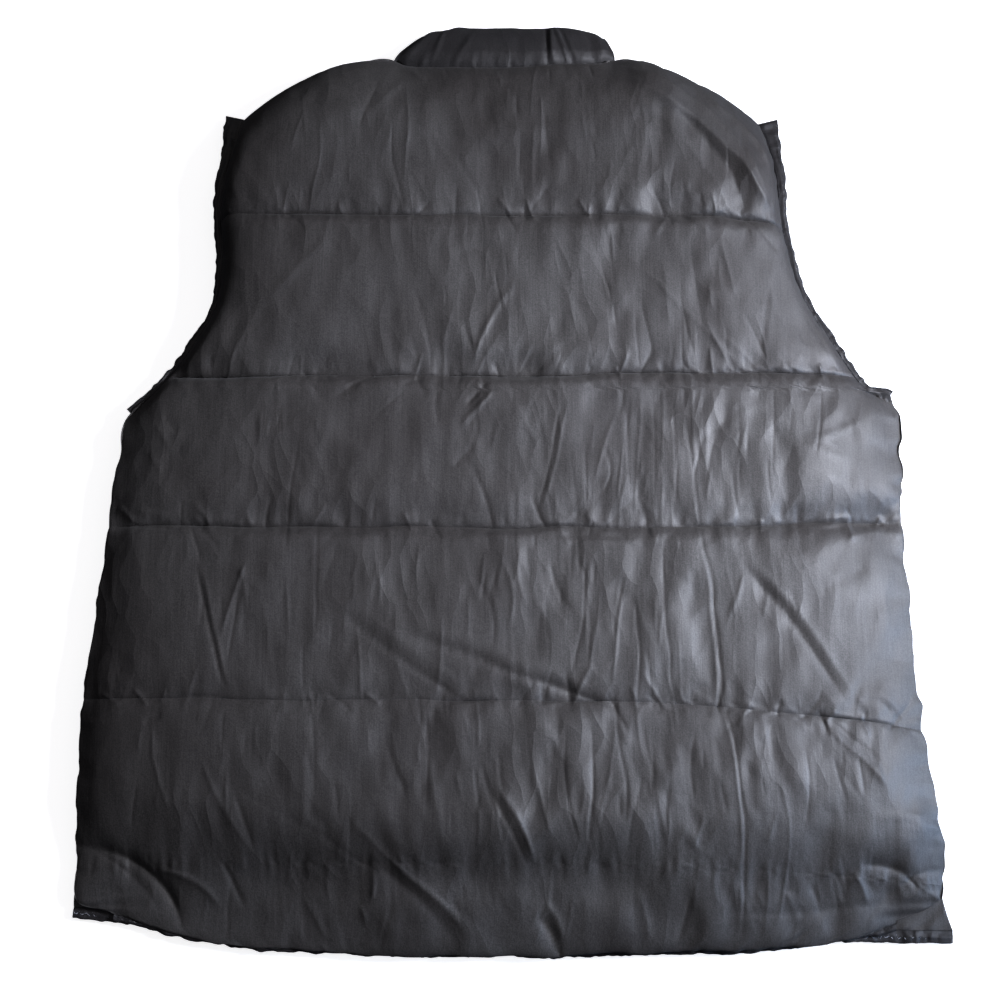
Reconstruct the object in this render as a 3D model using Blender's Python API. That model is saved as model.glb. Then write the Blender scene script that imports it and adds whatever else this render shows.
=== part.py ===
"""A padded vest lying on its front, zip closed, back upwards and collar towards +Y.

Blender 4.5 script, metres, +Z up. The origin is on the surface that the vest lies on, under the
middle of its outline. X runs across the vest and Y up it. The wearer's left is at -X.

The back lies on the two fronts. Where they touch is the bed: a height that depends only on the
place in plan, so that the pieces follow each other. Quilting lines cross every panel, and the
padding stands between them in rolls. Sizes in the tables are millimetres.
"""

import math
from collections import namedtuple

import bmesh
import bpy
import numpy as np

MM = 0.001
SEAM_GAP = 0.3  # between pieces that are sewn together
LAID_GAP, LAID_REACH = 1.6, 12.0  # between the back and the fronts, this far from their seams
CLOTH = 2.2  # both layers of cloth, with flattened padding, at a sewn edge

# Heights of the bed, and how far in from an edge it takes to level out
BED = 28.0
BED_DROP_SIDE, BED_REACH_SIDE = 11.0, 80.0
BED_DROP_HEM, BED_REACH_HEM = 19.0, 85.0
BED_DROP_SHOULDER, BED_REACH_SHOULDER = 8.0, 60.0
BED_LOWEST = 8.0

# Padding
CROWN_BACK = 27.0  # a roll of the back, above the bed
GROOVE_FRONT = 9.0  # how far a quilting line lifts the fronts off the surface
GROOVE_HALF = 30.0  # half the width of that groove
ROLL_SIDE, ROLL_ARMHOLE, ROLL_SHOULDER = 52.0, 34.0, 40.0  # how far in an edge rounds over
ROLL_NECK, ROLL_HEM, ROLL_FRONT_EDGE = 26.0, 42.0, 26.0
ROLL_POWER = 0.75  # the shape of a roll between its quilting lines

# Neck and front opening
NECK_LEFT, NECK_RIGHT, NECK_CORNER_Y = -93.0, 83.0, 337.0
NECK_FRONT_Y, NECK_POWER = 247.0, 2.2
FRONT_EDGE_X = 9.6  # each front's edge, from the centre of the zip

# A line across the vest: its height at the left, in the middle and at the right, how sharply it
# bends towards its ends, and how deep it pulls the back's padding in
Line = namedtuple("Line", "name left middle right bend dip")
LINE_HALF = 300.0
BACK_HEM = Line("hem", -329, -358, -336, 3.5, 8)
FRONT_HEM = Line("hem", -329, -343, -344, 2, 8)
QUILTING = (
    Line("fifth seam", -297, -296, -310, 2, 7),
    Line("fourth seam", -176, -179, -199, 2, 10),
    Line("third seam", -44, -50, -41, 2, 15),
    Line("second seam", 74, 68, 76, 2, 15),
    Line("first seam", 203, 196, 192, 2, 15),
)

# The largest folds of the back: from one end to the other, half width, and how far they stand
# above the padding or sink into it
Fold = namedtuple("Fold", "name x1 y1 x2 y2 wide height")
FOLDS = (
    Fold("right shoulder, upper", 98, 316, 180, 223, 13, 3.5),
    Fold("right shoulder, lower", 180, 223, 203, 194, 13, 3.0),
    Fold("blade", 22, 165, -20, 92, 14, 2.5),
    Fold("left waist", -139, -102, -37, -172, 14, 2.5),
    Fold("right hip", 162, -66, 245, -176, 12, -4.0),
    Fold("right hip, fan", 229, -201, 275, -242, 12, -3.5),
    Fold("pressed crease", 146, -102, 167, -345, 12, -2.0),
    Fold("lower left", -117, -265, -30, -340, 14, 3.5),
    Fold("left corner", -310, -282, -246, -336, 16, -4.0),
)

# The outline in plan, from the hem up to the shoulder tip
Place = namedtuple("Place", "name x y")
BACK_SIDE_LEFT = (
    Place("hem corner", -290, -331),
    Place("corner", -311, -318),
    Place("fifth seam", -320, -296),
    Place("fourth seam", -318, -176),
    Place("hip", -309, -108),
    Place("third seam", -306, -45),
    Place("underarm", -296, 40),
)
BACK_ARMHOLE_LEFT = (
    Place("underarm", -296, 40),
    Place("curve", -275, 62),
    Place("second seam", -258, 82),
    Place("curve", -243, 106),
    Place("curve", -230, 130),
    Place("blade", -226, 168),
    Place("first seam", -229, 206),
    Place("upper", -226, 238),
    Place("shoulder tip", -215, 290),
)
BACK_SIDE_RIGHT = (
    Place("hem corner", 281, -338),
    Place("corner", 304, -328),
    Place("fifth seam", 315, -309),
    Place("hip", 308, -230),
    Place("fourth seam", 304, -190),
    Place("waist", 298, -100),
    Place("underarm", 295, 54),
)
BACK_ARMHOLE_RIGHT = (
    Place("underarm", 295, 54),
    Place("curve", 276, 63),
    Place("second seam", 263, 80),
    Place("curve", 247, 106),
    Place("curve", 234, 127),
    Place("blade", 223, 153),
    Place("first seam", 214, 196),
    Place("upper", 209, 250),
    Place("shoulder tip", 200, 286),
)
FRONT_CORNER_LEFT = (Place("hem corner", -323, -329), Place("corner", -323, -318))
FRONT_CORNER_RIGHT = (Place("hem corner", 325, -345), Place("corner", 320, -328))
SHOULDER_LEFT = (
    Place("shoulder tip", -215, 290),
    Place("shoulder", -181, 312),
    Place("shoulder", -144, 329),
    Place("shoulder", -119, 335),
    Place("neck", NECK_LEFT, NECK_CORNER_Y),
)
SHOULDER_RIGHT = (
    Place("neck", NECK_RIGHT, NECK_CORNER_Y),
    Place("shoulder", 106, 335),
    Place("shoulder", 135, 323),
    Place("shoulder", 170, 306),
    Place("shoulder tip", 200, 286),
)
BACK_NECK = (
    Place("neck", NECK_LEFT, NECK_CORNER_Y),
    Place("dip", -74, 328),
    Place("centre back", -6, 325),
    Place("dip", 62, 331),
    Place("neck", NECK_RIGHT, NECK_CORNER_Y),
)
OUTLINE_HALF, OUTLINE_POINTS = 330.0, 25  # lines across the vest, as outlines

# Rows between two lines, and columns outside the neck, across the neck and across half of it
ROWS, ROWS_HEM, ROWS_TOP = 6, 4, 8
COLUMNS_OUTER, COLUMNS_NECK, COLUMNS_HALF_NECK = 9, 12, 6

# Collar: a low stand, its back stretch leaning over towards the surface
COLLAR_TOP_LEFT, COLLAR_TOP_RIGHT = 0.74, 0.9  # width of its top edge, as a share of its seam's
COLLAR_BACK_Y, COLLAR_BACK_DROP = 365.5, 14.0
COLLAR_FOLD_Y, COLLAR_FOLD_DROP = 362.0, 19.0
COLLAR_FRONT_Y, COLLAR_FRONT_DROP = 297.0, 3.0
COLLAR_UNDER = 1.0  # its front stretches, below the bed
COLLAR_TOP_POWER, COLLAR_LEAN_POWER = 2.4, 1.6
COLLAR_WALL = ((0.0, CLOTH), (0.28, 9.0), (0.7, 8.5), (1.0, 4.0))  # share of height, thickness

# Bindings: the armhole's widens towards the shoulder tip
ARMHOLE_BINDING = ((0.0, 4.5), (0.7, 6.0), (0.88, 9.0), (1.0, 15.0))  # share of armhole, width
ARMHOLE_BINDING_START = 4.0  # above the underarm
HEM_BINDING_BACK, HEM_BINDING_FRONT = 5.0, 9.0
BINDING_THICK = 2.2

# Zip
CHAIN_HALF, CHAIN_THICK = 3.0, 2.4
TAPE_THICK = 1.0
TAPE_OUTER = FRONT_EDGE_X - SEAM_GAP
ZIP_DROP = 3.0  # the middle of the zip, below the bed
ZIP_STEP = 22.0  # between its sections
TAPE_TOP = COLLAR_FRONT_Y - 2.0
SLIDER_Y, SLIDER_LONG, SLIDER_WIDE, SLIDER_PLATE = 282.0, 13.0, 9.6, 1.1
CHAIN_IN_SLIDER = 1.5  # the chain's room reaches this far past the slider's middle
POST_HALF = 1.8
SLIDER_CLEARANCE = 0.35
BRIDGE_WIDE, BRIDGE_LONG, BRIDGE_BAR, BRIDGE_ROOM = 2.6, 9.0, 1.2, 2.4
PULL_LONG, PULL_WIDE, PULL_THICK = 19.5, 7.4, 1.5
PULL_EYE_WIDE, PULL_EYE_LONG, PULL_EYE_END = 4.0, 6.6, 0.75

SHELL_BLACK, TAPE_BLACK = (0.055, 0.055, 0.062), (0.02, 0.02, 0.023)
GUNMETAL = (0.16, 0.16, 0.17)


# ---------------------------------------------------------------- plan


def line_y(line, x):
    """The height up the vest of a line across it, at x."""
    end = np.where(x < 0, line.left, line.right)
    return line.middle + (end - line.middle) * np.abs(x / LINE_HALF) ** line.bend


def plan(places):
    return np.array([(place.x, place.y) for place in places], float)


def along(places, x):
    """y at x on an outline whose x grows."""
    points = plan(places)
    return np.interp(x, points[:, 0], points[:, 1])


def top_of_back(x):
    return along(SHOULDER_LEFT + BACK_NECK[1:-1] + SHOULDER_RIGHT, x)


def top_of_front(x):
    corner = np.where(x < 0, NECK_LEFT, NECK_RIGHT)
    neckline = NECK_FRONT_Y + (NECK_CORNER_Y - NECK_FRONT_Y) * np.abs(x / corner) ** NECK_POWER
    inside = (x > NECK_LEFT) & (x < NECK_RIGHT)
    return np.where(inside, neckline, along(SHOULDER_LEFT + SHOULDER_RIGHT, x))


def distance(points, outline):
    """The distance in plan from each point to an open outline."""
    best = np.full(len(points), np.inf)
    for a, b in zip(outline[:-1], outline[1:]):
        run = b - a
        share = np.clip(((points - a) @ run) / (run @ run), 0, 1)
        best = np.minimum(best, np.linalg.norm(points - a - share[:, None] * run, axis=1))
    return best


def eased(share):
    share = np.clip(share, 0, 1)
    return share * share * (3 - 2 * share)


def rounded(away, reach):
    """A quarter round: 0 at an edge, 1 from reach inwards."""
    return np.sqrt(1 - (1 - np.clip(away / reach, 0, 1)) ** 2)


def outline_of(line, left, right):
    x = np.linspace(left, right, OUTLINE_POINTS)
    return np.column_stack([x, line_y(line, x)])


FRONT_SIDE_LEFT = FRONT_CORNER_LEFT + BACK_SIDE_LEFT[2:]
FRONT_SIDE_RIGHT = FRONT_CORNER_RIGHT + BACK_SIDE_RIGHT[2:]
BODY_SIDES = (
    plan(FRONT_SIDE_LEFT + BACK_ARMHOLE_LEFT[1:]),
    plan(FRONT_SIDE_RIGHT + BACK_ARMHOLE_RIGHT[1:]),
)
SHOULDERS = (plan(SHOULDER_LEFT), plan(SHOULDER_RIGHT))
SIDE_SEAMS = (plan(BACK_SIDE_LEFT[2:]), plan(BACK_SIDE_RIGHT[2:]))
FRONT_HEM_OUTLINE = outline_of(FRONT_HEM, FRONT_CORNER_LEFT[0].x, FRONT_CORNER_RIGHT[0].x)


def nearest(points, outlines):
    return np.min([distance(points, outline) for outline in outlines], axis=0)


def bed(points):
    """The height at which the back lies on the fronts."""
    side = BED_DROP_SIDE * (1 - eased(nearest(points, BODY_SIDES) / BED_REACH_SIDE))
    hem = BED_DROP_HEM * (1 - eased(distance(points, FRONT_HEM_OUTLINE) / BED_REACH_HEM))
    shoulder = BED_DROP_SHOULDER * (1 - eased(nearest(points, SHOULDERS) / BED_REACH_SHOULDER))
    return np.maximum(BED - side - hem - shoulder, BED_LOWEST)


def clearance(points):
    """How far a panel lies from the bed: close at the side and shoulder seams."""
    away = nearest(points, (*SIDE_SEAMS, *SHOULDERS))
    return (SEAM_GAP + (LAID_GAP - SEAM_GAP) * np.clip(away / LAID_REACH, 0, 1)) / 2


# ---------------------------------------------------------------- panels

Grid = namedtuple("Grid", "points level shape")  # level counts the lines passed on the way up


def level_of(lines, top, place):
    """Where a place of the outline lies between the lines: 1.5 is midway from line 1 to line 2."""
    x = np.array([float(place.x)])
    heights = [line_y(line, x)[0] for line in lines] + [top(x)[0]]
    return float(np.interp(place.y, heights, range(len(heights))))


def edge_x(lines, top, places, levels):
    known = [level_of(lines, top, place) for place in places]
    known[0], known[-1] = 0.0, float(len(lines))
    return np.interp(levels, known, [place.x for place in places])


def panel_grid(lines, top, left, right, breaks, columns):
    """Rows that follow the lines, from the hem to the top. left and right are outlines or plain
    x values, and breaks are the x values that a column keeps all the way up."""
    counts = [ROWS_HEM] + [ROWS] * (len(lines) - 2) + [ROWS_TOP]
    levels = [0.0]
    for step, count in enumerate(counts):
        levels += [step + (row + 1) / count for row in range(count)]
    levels = np.array(levels)
    ends = [
        np.full(len(levels), side) if isinstance(side, float) else edge_x(lines, top, side, levels)
        for side in (left, right)
    ]
    stops = np.column_stack([ends[0], *[np.full(len(levels), b) for b in breaks], ends[1]])
    xs = [stops[:, :1]]
    for a, b, count in zip(stops.T[:-1], stops.T[1:], columns):
        share = (np.arange(count) + 1) / count
        xs.append(a[:, None] + (b - a)[:, None] * share)
    x = np.concatenate(xs, axis=1)
    heights = np.stack([line_y(line, x) for line in lines] + [top(x)])
    low = np.minimum(levels.astype(int), len(lines) - 1)
    part = (levels - low)[:, None]
    row = np.arange(len(levels))
    y = heights[low, row] * (1 - part) + heights[low + 1, row] * part
    points = np.column_stack([x.ravel(), y.ravel()])
    return Grid(points, np.repeat(levels, x.shape[1]), x.shape)


def padding(lines, level):
    """How far the quilting pulls the padding in at a level."""
    dips = np.array([line.dip for line in lines] + [0.0])
    low = np.minimum(level.astype(int), len(lines) - 1)
    part = level - low
    roll = (1 - (2 * part - 1) ** 2) ** ROLL_POWER
    top = low == len(lines) - 1
    roll = np.where(top, rounded(part, 0.5), roll)
    return (dips[low] * (1 - part) + np.where(top, dips[low], dips[low + 1]) * part) * (1 - roll)


def folded(points):
    """The height that the folds add."""
    added = np.zeros(len(points))
    for fold in FOLDS:
        line = np.array([(fold.x1, fold.y1), (fold.x2, fold.y2)], float)
        added += fold.height * np.exp(-((distance(points, line) / fold.wide) ** 2))
    return added


def two_faced(name, grid, low, high, material):
    """A closed solid between two heights over one grid."""
    rows, columns = grid.shape
    count = rows * columns
    mesh = bmesh.new()
    for heights in (low, high):
        for (x, y), z in zip(grid.points, heights):
            mesh.verts.new((x * MM, y * MM, z * MM))
    mesh.verts.ensure_lookup_table()
    at = mesh.verts

    def face(*numbers):
        mesh.faces.new([at[n] for n in numbers])

    for r in range(rows - 1):
        for c in range(columns - 1):
            a, b = r * columns + c, (r + 1) * columns + c
            face(a, b, b + 1, a + 1)
            face(count + a, count + a + 1, count + b + 1, count + b)
    rim = [(0, c) for c in range(columns)] + [(r, columns - 1) for r in range(1, rows)]
    rim += [(rows - 1, c) for c in range(columns - 2, -1, -1)]
    rim += [(r, 0) for r in range(rows - 2, 0, -1)]
    rim = [r * columns + c for r, c in rim]
    for a, b in zip(rim, rim[1:] + rim[:1]):
        face(a, b, count + b, count + a)
    return finish(name, mesh, material)


def finish(name, mesh, material):
    data = bpy.data.meshes.new(name)
    mesh.to_mesh(data)
    mesh.free()
    data.materials.append(material)
    data.shade_smooth()
    data.set_sharp_from_angle(angle=math.radians(40))
    made = bpy.data.objects.new(name, data)
    bpy.context.scene.collection.objects.link(made)
    return made


BACK_LINES = (BACK_HEM, *QUILTING)
FRONT_LINES = (FRONT_HEM, *QUILTING)
BACK_GRID = panel_grid(
    BACK_LINES,
    top_of_back,
    BACK_SIDE_LEFT + BACK_ARMHOLE_LEFT[1:],
    BACK_SIDE_RIGHT + BACK_ARMHOLE_RIGHT[1:],
    (NECK_LEFT, NECK_RIGHT),
    (COLUMNS_OUTER, COLUMNS_NECK, COLUMNS_OUTER),
)
FRONT_GRIDS = {
    "left": panel_grid(
        FRONT_LINES,
        top_of_front,
        FRONT_SIDE_LEFT + BACK_ARMHOLE_LEFT[1:],
        -FRONT_EDGE_X,
        (NECK_LEFT,),
        (COLUMNS_OUTER, COLUMNS_HALF_NECK),
    ),
    "right": panel_grid(
        FRONT_LINES,
        top_of_front,
        FRONT_EDGE_X,
        FRONT_SIDE_RIGHT + BACK_ARMHOLE_RIGHT[1:],
        (NECK_RIGHT,),
        (COLUMNS_HALF_NECK, COLUMNS_OUTER),
    ),
}


def border(grid, row=None, column=None):
    """One edge row or column of a grid, in plan."""
    points = grid.points.reshape(*grid.shape, 2)
    return points[row] if column is None else points[:, column]


def back_panel(material):
    grid = BACK_GRID
    underarm_left, underarm_right = BACK_SIDE_LEFT[-1].y, BACK_SIDE_RIGHT[-1].y
    left, right = border(grid, column=0), border(grid, column=-1)
    reaches = (
        (left[left[:, 1] <= underarm_left], ROLL_SIDE),
        (right[right[:, 1] <= underarm_right], ROLL_SIDE),
        (left[left[:, 1] > underarm_left], ROLL_ARMHOLE),
        (right[right[:, 1] > underarm_right], ROLL_ARMHOLE),
        (SHOULDERS[0], ROLL_SHOULDER),
        (SHOULDERS[1], ROLL_SHOULDER),
        (plan(BACK_NECK), ROLL_NECK),
        (border(grid, row=0), ROLL_HEM),
    )
    share = np.prod([rounded(distance(grid.points, line), reach) for line, reach in reaches], axis=0)
    under = bed(grid.points) + clearance(grid.points)
    crown = CROWN_BACK - padding(BACK_LINES, grid.level) + folded(grid.points)
    return two_faced("back_panel", grid, under, under + CLOTH + share * crown, material)


def front_panel(side, material):
    grid = FRONT_GRIDS[side]
    outer, inner = (0, -1) if side == "left" else (-1, 0)
    top = border(grid, row=-1)
    in_neck = (top[:, 0] >= NECK_LEFT) & (top[:, 0] <= NECK_RIGHT)
    reaches = (
        (border(grid, column=outer), ROLL_SIDE),
        (border(grid, column=inner), ROLL_FRONT_EDGE),
        (top[~in_neck], ROLL_SHOULDER),
        (top[in_neck], ROLL_NECK),
        (border(grid, row=0), ROLL_HEM),
    )
    share = np.prod([rounded(distance(grid.points, line), reach) for line, reach in reaches], axis=0)
    over = bed(grid.points) - clearance(grid.points)
    seams = [distance(grid.points, outline_of(line, -OUTLINE_HALF, OUTLINE_HALF)) for line in QUILTING]
    groove = GROOVE_FRONT * (1 - rounded(np.min(seams, axis=0), GROOVE_HALF))
    under = (over - CLOTH) * (1 - share) + groove * share
    return two_faced("front_" + side, grid, np.minimum(under, over - CLOTH), over, material)


# ---------------------------------------------------------------- lofts and ribbons


def loft(name, sections, material, closed=False):
    """A solid through loops of the same number of points, capped unless it closes on itself."""
    mesh = bmesh.new()
    loops = [[mesh.verts.new(np.asarray(p) * MM) for p in section] for section in sections]
    count = len(loops[0])
    pairs = list(zip(loops, loops[1:] + loops[:1])) if closed else list(zip(loops, loops[1:]))
    for a, b in pairs:
        for n in range(count):
            m = (n + 1) % count
            mesh.faces.new((a[n], a[m], b[m], b[n]))
    if not closed:
        mesh.faces.new(reversed(loops[0]))
        mesh.faces.new(loops[-1])
    bmesh.ops.recalc_face_normals(mesh, faces=mesh.faces)
    return finish(name, mesh, material)


def outward(points, away_from):
    """Unit normals in plan of an open line, on the side away from a point."""
    run = np.gradient(points, axis=0)
    normal = np.column_stack([run[:, 1], -run[:, 0]])
    normal /= np.linalg.norm(normal, axis=1)[:, None]
    sign = np.sign(((points - away_from) * normal).sum(axis=1).sum())
    return normal * sign


def ribbon(edge, wide, above):
    """Sections of a flat strip just outside a panel's edge, above the bed or below it. wide is
    one width, or one for each point of the edge."""
    normal = outward(edge, np.array([0.0, 0.0]))
    wide = np.broadcast_to(wide, len(edge))[:, None]
    base = bed(edge) + (clearance(edge) if above else -clearance(edge) - BINDING_THICK)
    inner, outer = edge + normal * SEAM_GAP, edge + normal * (SEAM_GAP + wide)
    sections = []
    for a, b, low in zip(inner, outer, base):
        high = low + BINDING_THICK
        sections.append(((*a, low), (*b, low), (*b, high), (*a, high)))
    return sections


def armhole_binding(side, material):
    """Up the back's armhole, over the shoulder tip and down the front's."""
    edge = border(BACK_GRID, column=0 if side == "left" else -1)
    underarm = (BACK_SIDE_LEFT if side == "left" else BACK_SIDE_RIGHT)[-1].y
    edge = edge[edge[:, 1] > underarm + ARMHOLE_BINDING_START]
    share = (edge[:, 1] - edge[0, 1]) / (edge[-1, 1] - edge[0, 1])
    wide = np.interp(share, *zip(*ARMHOLE_BINDING))
    up = ribbon(edge, wide, above=True)
    down = [section[::-1] for section in ribbon(edge, wide, above=False)[::-1]]
    inner, outer = (np.array(corner) for corner in up[-1][:2])
    inner[2] = outer[2] = bed(edge[-1:])[0]
    lip, turn = np.array([0.0, SEAM_GAP, 0.0]), np.array([0.0, BINDING_THICK, 0.0])
    over = (inner + lip, outer + lip, outer + turn, inner + turn)
    return loft("armhole_binding_" + side, [*up, over, *down], material)


def hem_binding(name, grid, wide, above, material):
    return loft(name, ribbon(border(grid, row=0), wide, above), material)


# ---------------------------------------------------------------- collar


def neck_points(grid):
    """The points of a panel's top edge that the collar is sewn to."""
    points = border(grid, row=-1)
    return points[(points[:, 0] >= NECK_LEFT) & (points[:, 0] <= NECK_RIGHT)]


def collar_section(seam, top, under, out):
    """A loop from the neck seam to the top edge and back, thickened on its outer face. seam and
    top are places in plan, and under is how far each end lies from the bed."""
    share = np.array([part for part, _ in COLLAR_WALL])[:, None]
    thick = np.array([thick for _, thick in COLLAR_WALL])[:, None]
    flat = seam + (top - seam) * share
    height = bed(flat)[:, None] + under[0] + (under[1] - under[0]) * share**COLLAR_LEAN_POWER
    inner = np.hstack([flat, height])
    outer = inner + thick * np.array(out) / np.linalg.norm(out)
    return [*inner, *outer[::-1]]


def collar_top_share(x):
    return COLLAR_TOP_LEFT if x < 0 else COLLAR_TOP_RIGHT


def collar(material):
    """One wall round the neck: its back stretch faces up, and its front stretches face down."""
    shift = np.array([0.0, 2 * SEAM_GAP])
    sections = []
    for side in ("left", "right"):
        corner = NECK_LEFT if side == "left" else NECK_RIGHT
        stretch = []
        for x, y in neck_points(FRONT_GRIDS[side]):
            share = max(0.0, (abs(x) - FRONT_EDGE_X) / (abs(corner) - FRONT_EDGE_X))
            top_x = x * (1 - (1 - collar_top_share(x)) * eased(2 * share))
            top_y = COLLAR_FRONT_Y + (COLLAR_FOLD_Y - COLLAR_FRONT_Y) * share**COLLAR_TOP_POWER
            end = -COLLAR_FRONT_DROP - (COLLAR_FOLD_DROP - COLLAR_FRONT_DROP) * eased(2 * share - 1)
            top = np.array([top_x, top_y])
            stretch.append(collar_section((x, y) + shift, top, (-COLLAR_UNDER, end), (0, 0, -1)))
        sections.append(stretch if side == "right" else stretch[::-1])
    left, right = sections
    across = []
    for x, y in neck_points(BACK_GRID):
        share = abs(x / (NECK_LEFT if x < 0 else NECK_RIGHT))
        near = eased((share - 0.6) / 0.4)
        top_y = COLLAR_BACK_Y + (COLLAR_FOLD_Y - COLLAR_BACK_Y) * near
        top = np.array([x * collar_top_share(x), top_y])
        end = -COLLAR_BACK_DROP - (COLLAR_FOLD_DROP - 5 - COLLAR_BACK_DROP) * near
        fold = share > 0.99
        out = (math.copysign(1, x), 0.5, 0.9) if fold else (0, 0.35, 0.94)
        across.append(collar_section((x, y) + shift, top, (SEAM_GAP, end), out))
    return loft("collar", [*left, *across, *right[::-1]], material)


# ---------------------------------------------------------------- zip


def zip_line(y):
    return bed(np.column_stack([np.zeros_like(y), y])) - ZIP_DROP


def zip_strip(name, near, far, thick, low_y, high_y, material):
    """A flat bar along the zip, between two x values."""
    count = round((high_y - low_y) / ZIP_STEP)
    ys = np.linspace(low_y, high_y, count + 1)
    sections = []
    for y, z in zip(ys, zip_line(ys)):
        low, high = z - thick / 2, z + thick / 2
        sections.append(((near, y, low), (far, y, low), (far, y, high), (near, y, high)))
    return loft(name, sections, material)


def block(low, high):
    """A bmesh box between two corners, in millimetres."""
    mesh = bmesh.new()
    bmesh.ops.create_cube(mesh, size=1.0)
    low, high = np.array(low), np.array(high)
    for vertex in mesh.verts:
        vertex.co = ((np.array(vertex.co) + 0.5) * (high - low) + low) * MM
    return mesh


def cut(made, *boxes):
    """Boxes taken out of an object by Boolean modifiers."""
    for number, (low, high) in enumerate(boxes):
        cutter = finish(f"{made.name}_cutter_{number}", block(low, high), made.data.materials[0])
        cutter.hide_render = True
        cutter.display_type = "WIRE"
        modifier = made.modifiers.new(f"cut_{number}", "BOOLEAN")
        modifier.operation = "DIFFERENCE"
        modifier.object = cutter


def zip_slider(material):
    """Two plates round the end of the chain, joined by a post, with a bridge for the pull."""
    z = float(zip_line(np.array([SLIDER_Y]))[0])
    room = CHAIN_THICK / 2 + SLIDER_CLEARANCE
    half = room + SLIDER_PLATE
    long, wide = SLIDER_LONG / 2, SLIDER_WIDE / 2
    foot = BRIDGE_LONG / 2
    bottom = z - half
    bridge_low = bottom - BRIDGE_ROOM - BRIDGE_BAR
    mesh = block((-wide, SLIDER_Y - long, bottom), (wide, SLIDER_Y + long, z + half))
    made = finish("zip_slider", mesh, material)
    bridge = finish(
        "zip_slider_bridge",
        block(
            (-BRIDGE_WIDE / 2, SLIDER_Y - foot, bridge_low),
            (BRIDGE_WIDE / 2, SLIDER_Y + foot, bottom + SLIDER_PLATE / 2),
        ),
        material,
    )
    bridge.hide_render = True
    bridge.display_type = "WIRE"
    union = made.modifiers.new("bridge", "BOOLEAN")
    union.operation = "UNION"
    union.object = bridge
    tape_room = TAPE_THICK / 2 + SLIDER_CLEARANCE
    inside = foot - BRIDGE_BAR
    past = 1.0  # how far a cutter runs past the faces that it opens
    start, end = SLIDER_Y - long - past, SLIDER_Y + long + past
    chain = CHAIN_HALF + SLIDER_CLEARANCE
    cut(
        made,
        ((-chain, start, z - room), (chain, SLIDER_Y + CHAIN_IN_SLIDER, z + room)),
        ((-wide - past, start, z - tape_room), (-POST_HALF, end, z + tape_room)),
        ((POST_HALF, start, z - tape_room), (wide + past, end, z + tape_room)),
        ((-BRIDGE_WIDE, SLIDER_Y - inside, bottom - BRIDGE_ROOM), (BRIDGE_WIDE, SLIDER_Y + inside, bottom)),
    )
    return made


def pull_axis():
    """Where the pull turns, in millimetres: inside the bridge."""
    z = float(zip_line(np.array([SLIDER_Y]))[0])
    plate = z - CHAIN_THICK / 2 - SLIDER_CLEARANCE - SLIDER_PLATE
    return SLIDER_Y, plate - BRIDGE_ROOM / 2


def zip_pull(material):
    """A flat tab whose end bar lies in the bridge. Its origin is on the joint's axis."""
    y, z = pull_axis()
    low = (-PULL_WIDE / 2, -PULL_LONG, -PULL_THICK / 2)
    made = finish("zip_pull", block(low, (PULL_WIDE / 2, PULL_EYE_END, PULL_THICK / 2)), material)
    cut(
        made,
        ((-PULL_EYE_WIDE / 2, -PULL_EYE_END - PULL_EYE_LONG, -PULL_THICK),
         (PULL_EYE_WIDE / 2, -PULL_EYE_END, PULL_THICK)),
    )
    holder = bpy.data.objects.new("zip_pull_axis", None)
    bpy.context.scene.collection.objects.link(holder)
    holder.location = (0, y * MM, z * MM)
    for piece in [made, *[m.object for m in made.modifiers]]:
        piece.parent = holder
    return made


# ---------------------------------------------------------------- build


def material(name, colour, roughness, metallic=0.0):
    made = bpy.data.materials.new(name)
    made.use_nodes = True
    shader = made.node_tree.nodes["Principled BSDF"]
    shader.inputs["Base Color"].default_value = (*colour, 1)
    shader.inputs["Roughness"].default_value = roughness
    shader.inputs["Metallic"].default_value = metallic
    made.diffuse_color = (*colour, 1)
    return made


def build():
    for old in list(bpy.data.objects):
        bpy.data.objects.remove(old)
    nylon = material("black_nylon", SHELL_BLACK, 0.45)
    binding = material("black_binding", TAPE_BLACK, 0.6)
    tape = material("zip_tape_polyester", TAPE_BLACK, 0.7)
    metal = material("gunmetal", GUNMETAL, 0.35, 0.9)
    back_panel(nylon)
    for side in ("left", "right"):
        front_panel(side, nylon)
        armhole_binding(side, binding)
        hem_binding("hem_binding_" + side, FRONT_GRIDS[side], HEM_BINDING_FRONT, False, binding)
    hem_binding("hem_binding_back", BACK_GRID, HEM_BINDING_BACK, True, binding)
    collar(nylon)
    hem_y = float(line_y(FRONT_HEM, np.array(0.0))) - HEM_BINDING_FRONT
    for side, way in (("left", -1), ("right", 1)):
        near, far = sorted((way * (CHAIN_HALF + SEAM_GAP), way * TAPE_OUTER))
        zip_strip("zip_tape_" + side, near, far, TAPE_THICK, hem_y, TAPE_TOP, tape)
    zip_strip("zip_chain", -CHAIN_HALF, CHAIN_HALF, CHAIN_THICK, hem_y, SLIDER_Y, metal)
    zip_slider(metal)
    zip_pull(metal)


build()
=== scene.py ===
"""A black padded vest lying on its front on a pale floor, back upwards and collar towards +Y.

The frame holds the plain solids of the vest. Each soft piece here stands for one of them: a shell
of calendered nylon swollen by its padding, quilted, creased and puckered, with gathered bindings,
a closed zip underneath and every row of stitches. Sizes in the tables are millimetres, in the
frame's own X (across the vest, the wearer's right at +X) and Y (up it).
"""

import math
from collections import namedtuple

import bmesh
import bpy
import numpy as np
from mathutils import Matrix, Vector
from mathutils.geometry import delaunay_2d_cdt


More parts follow.
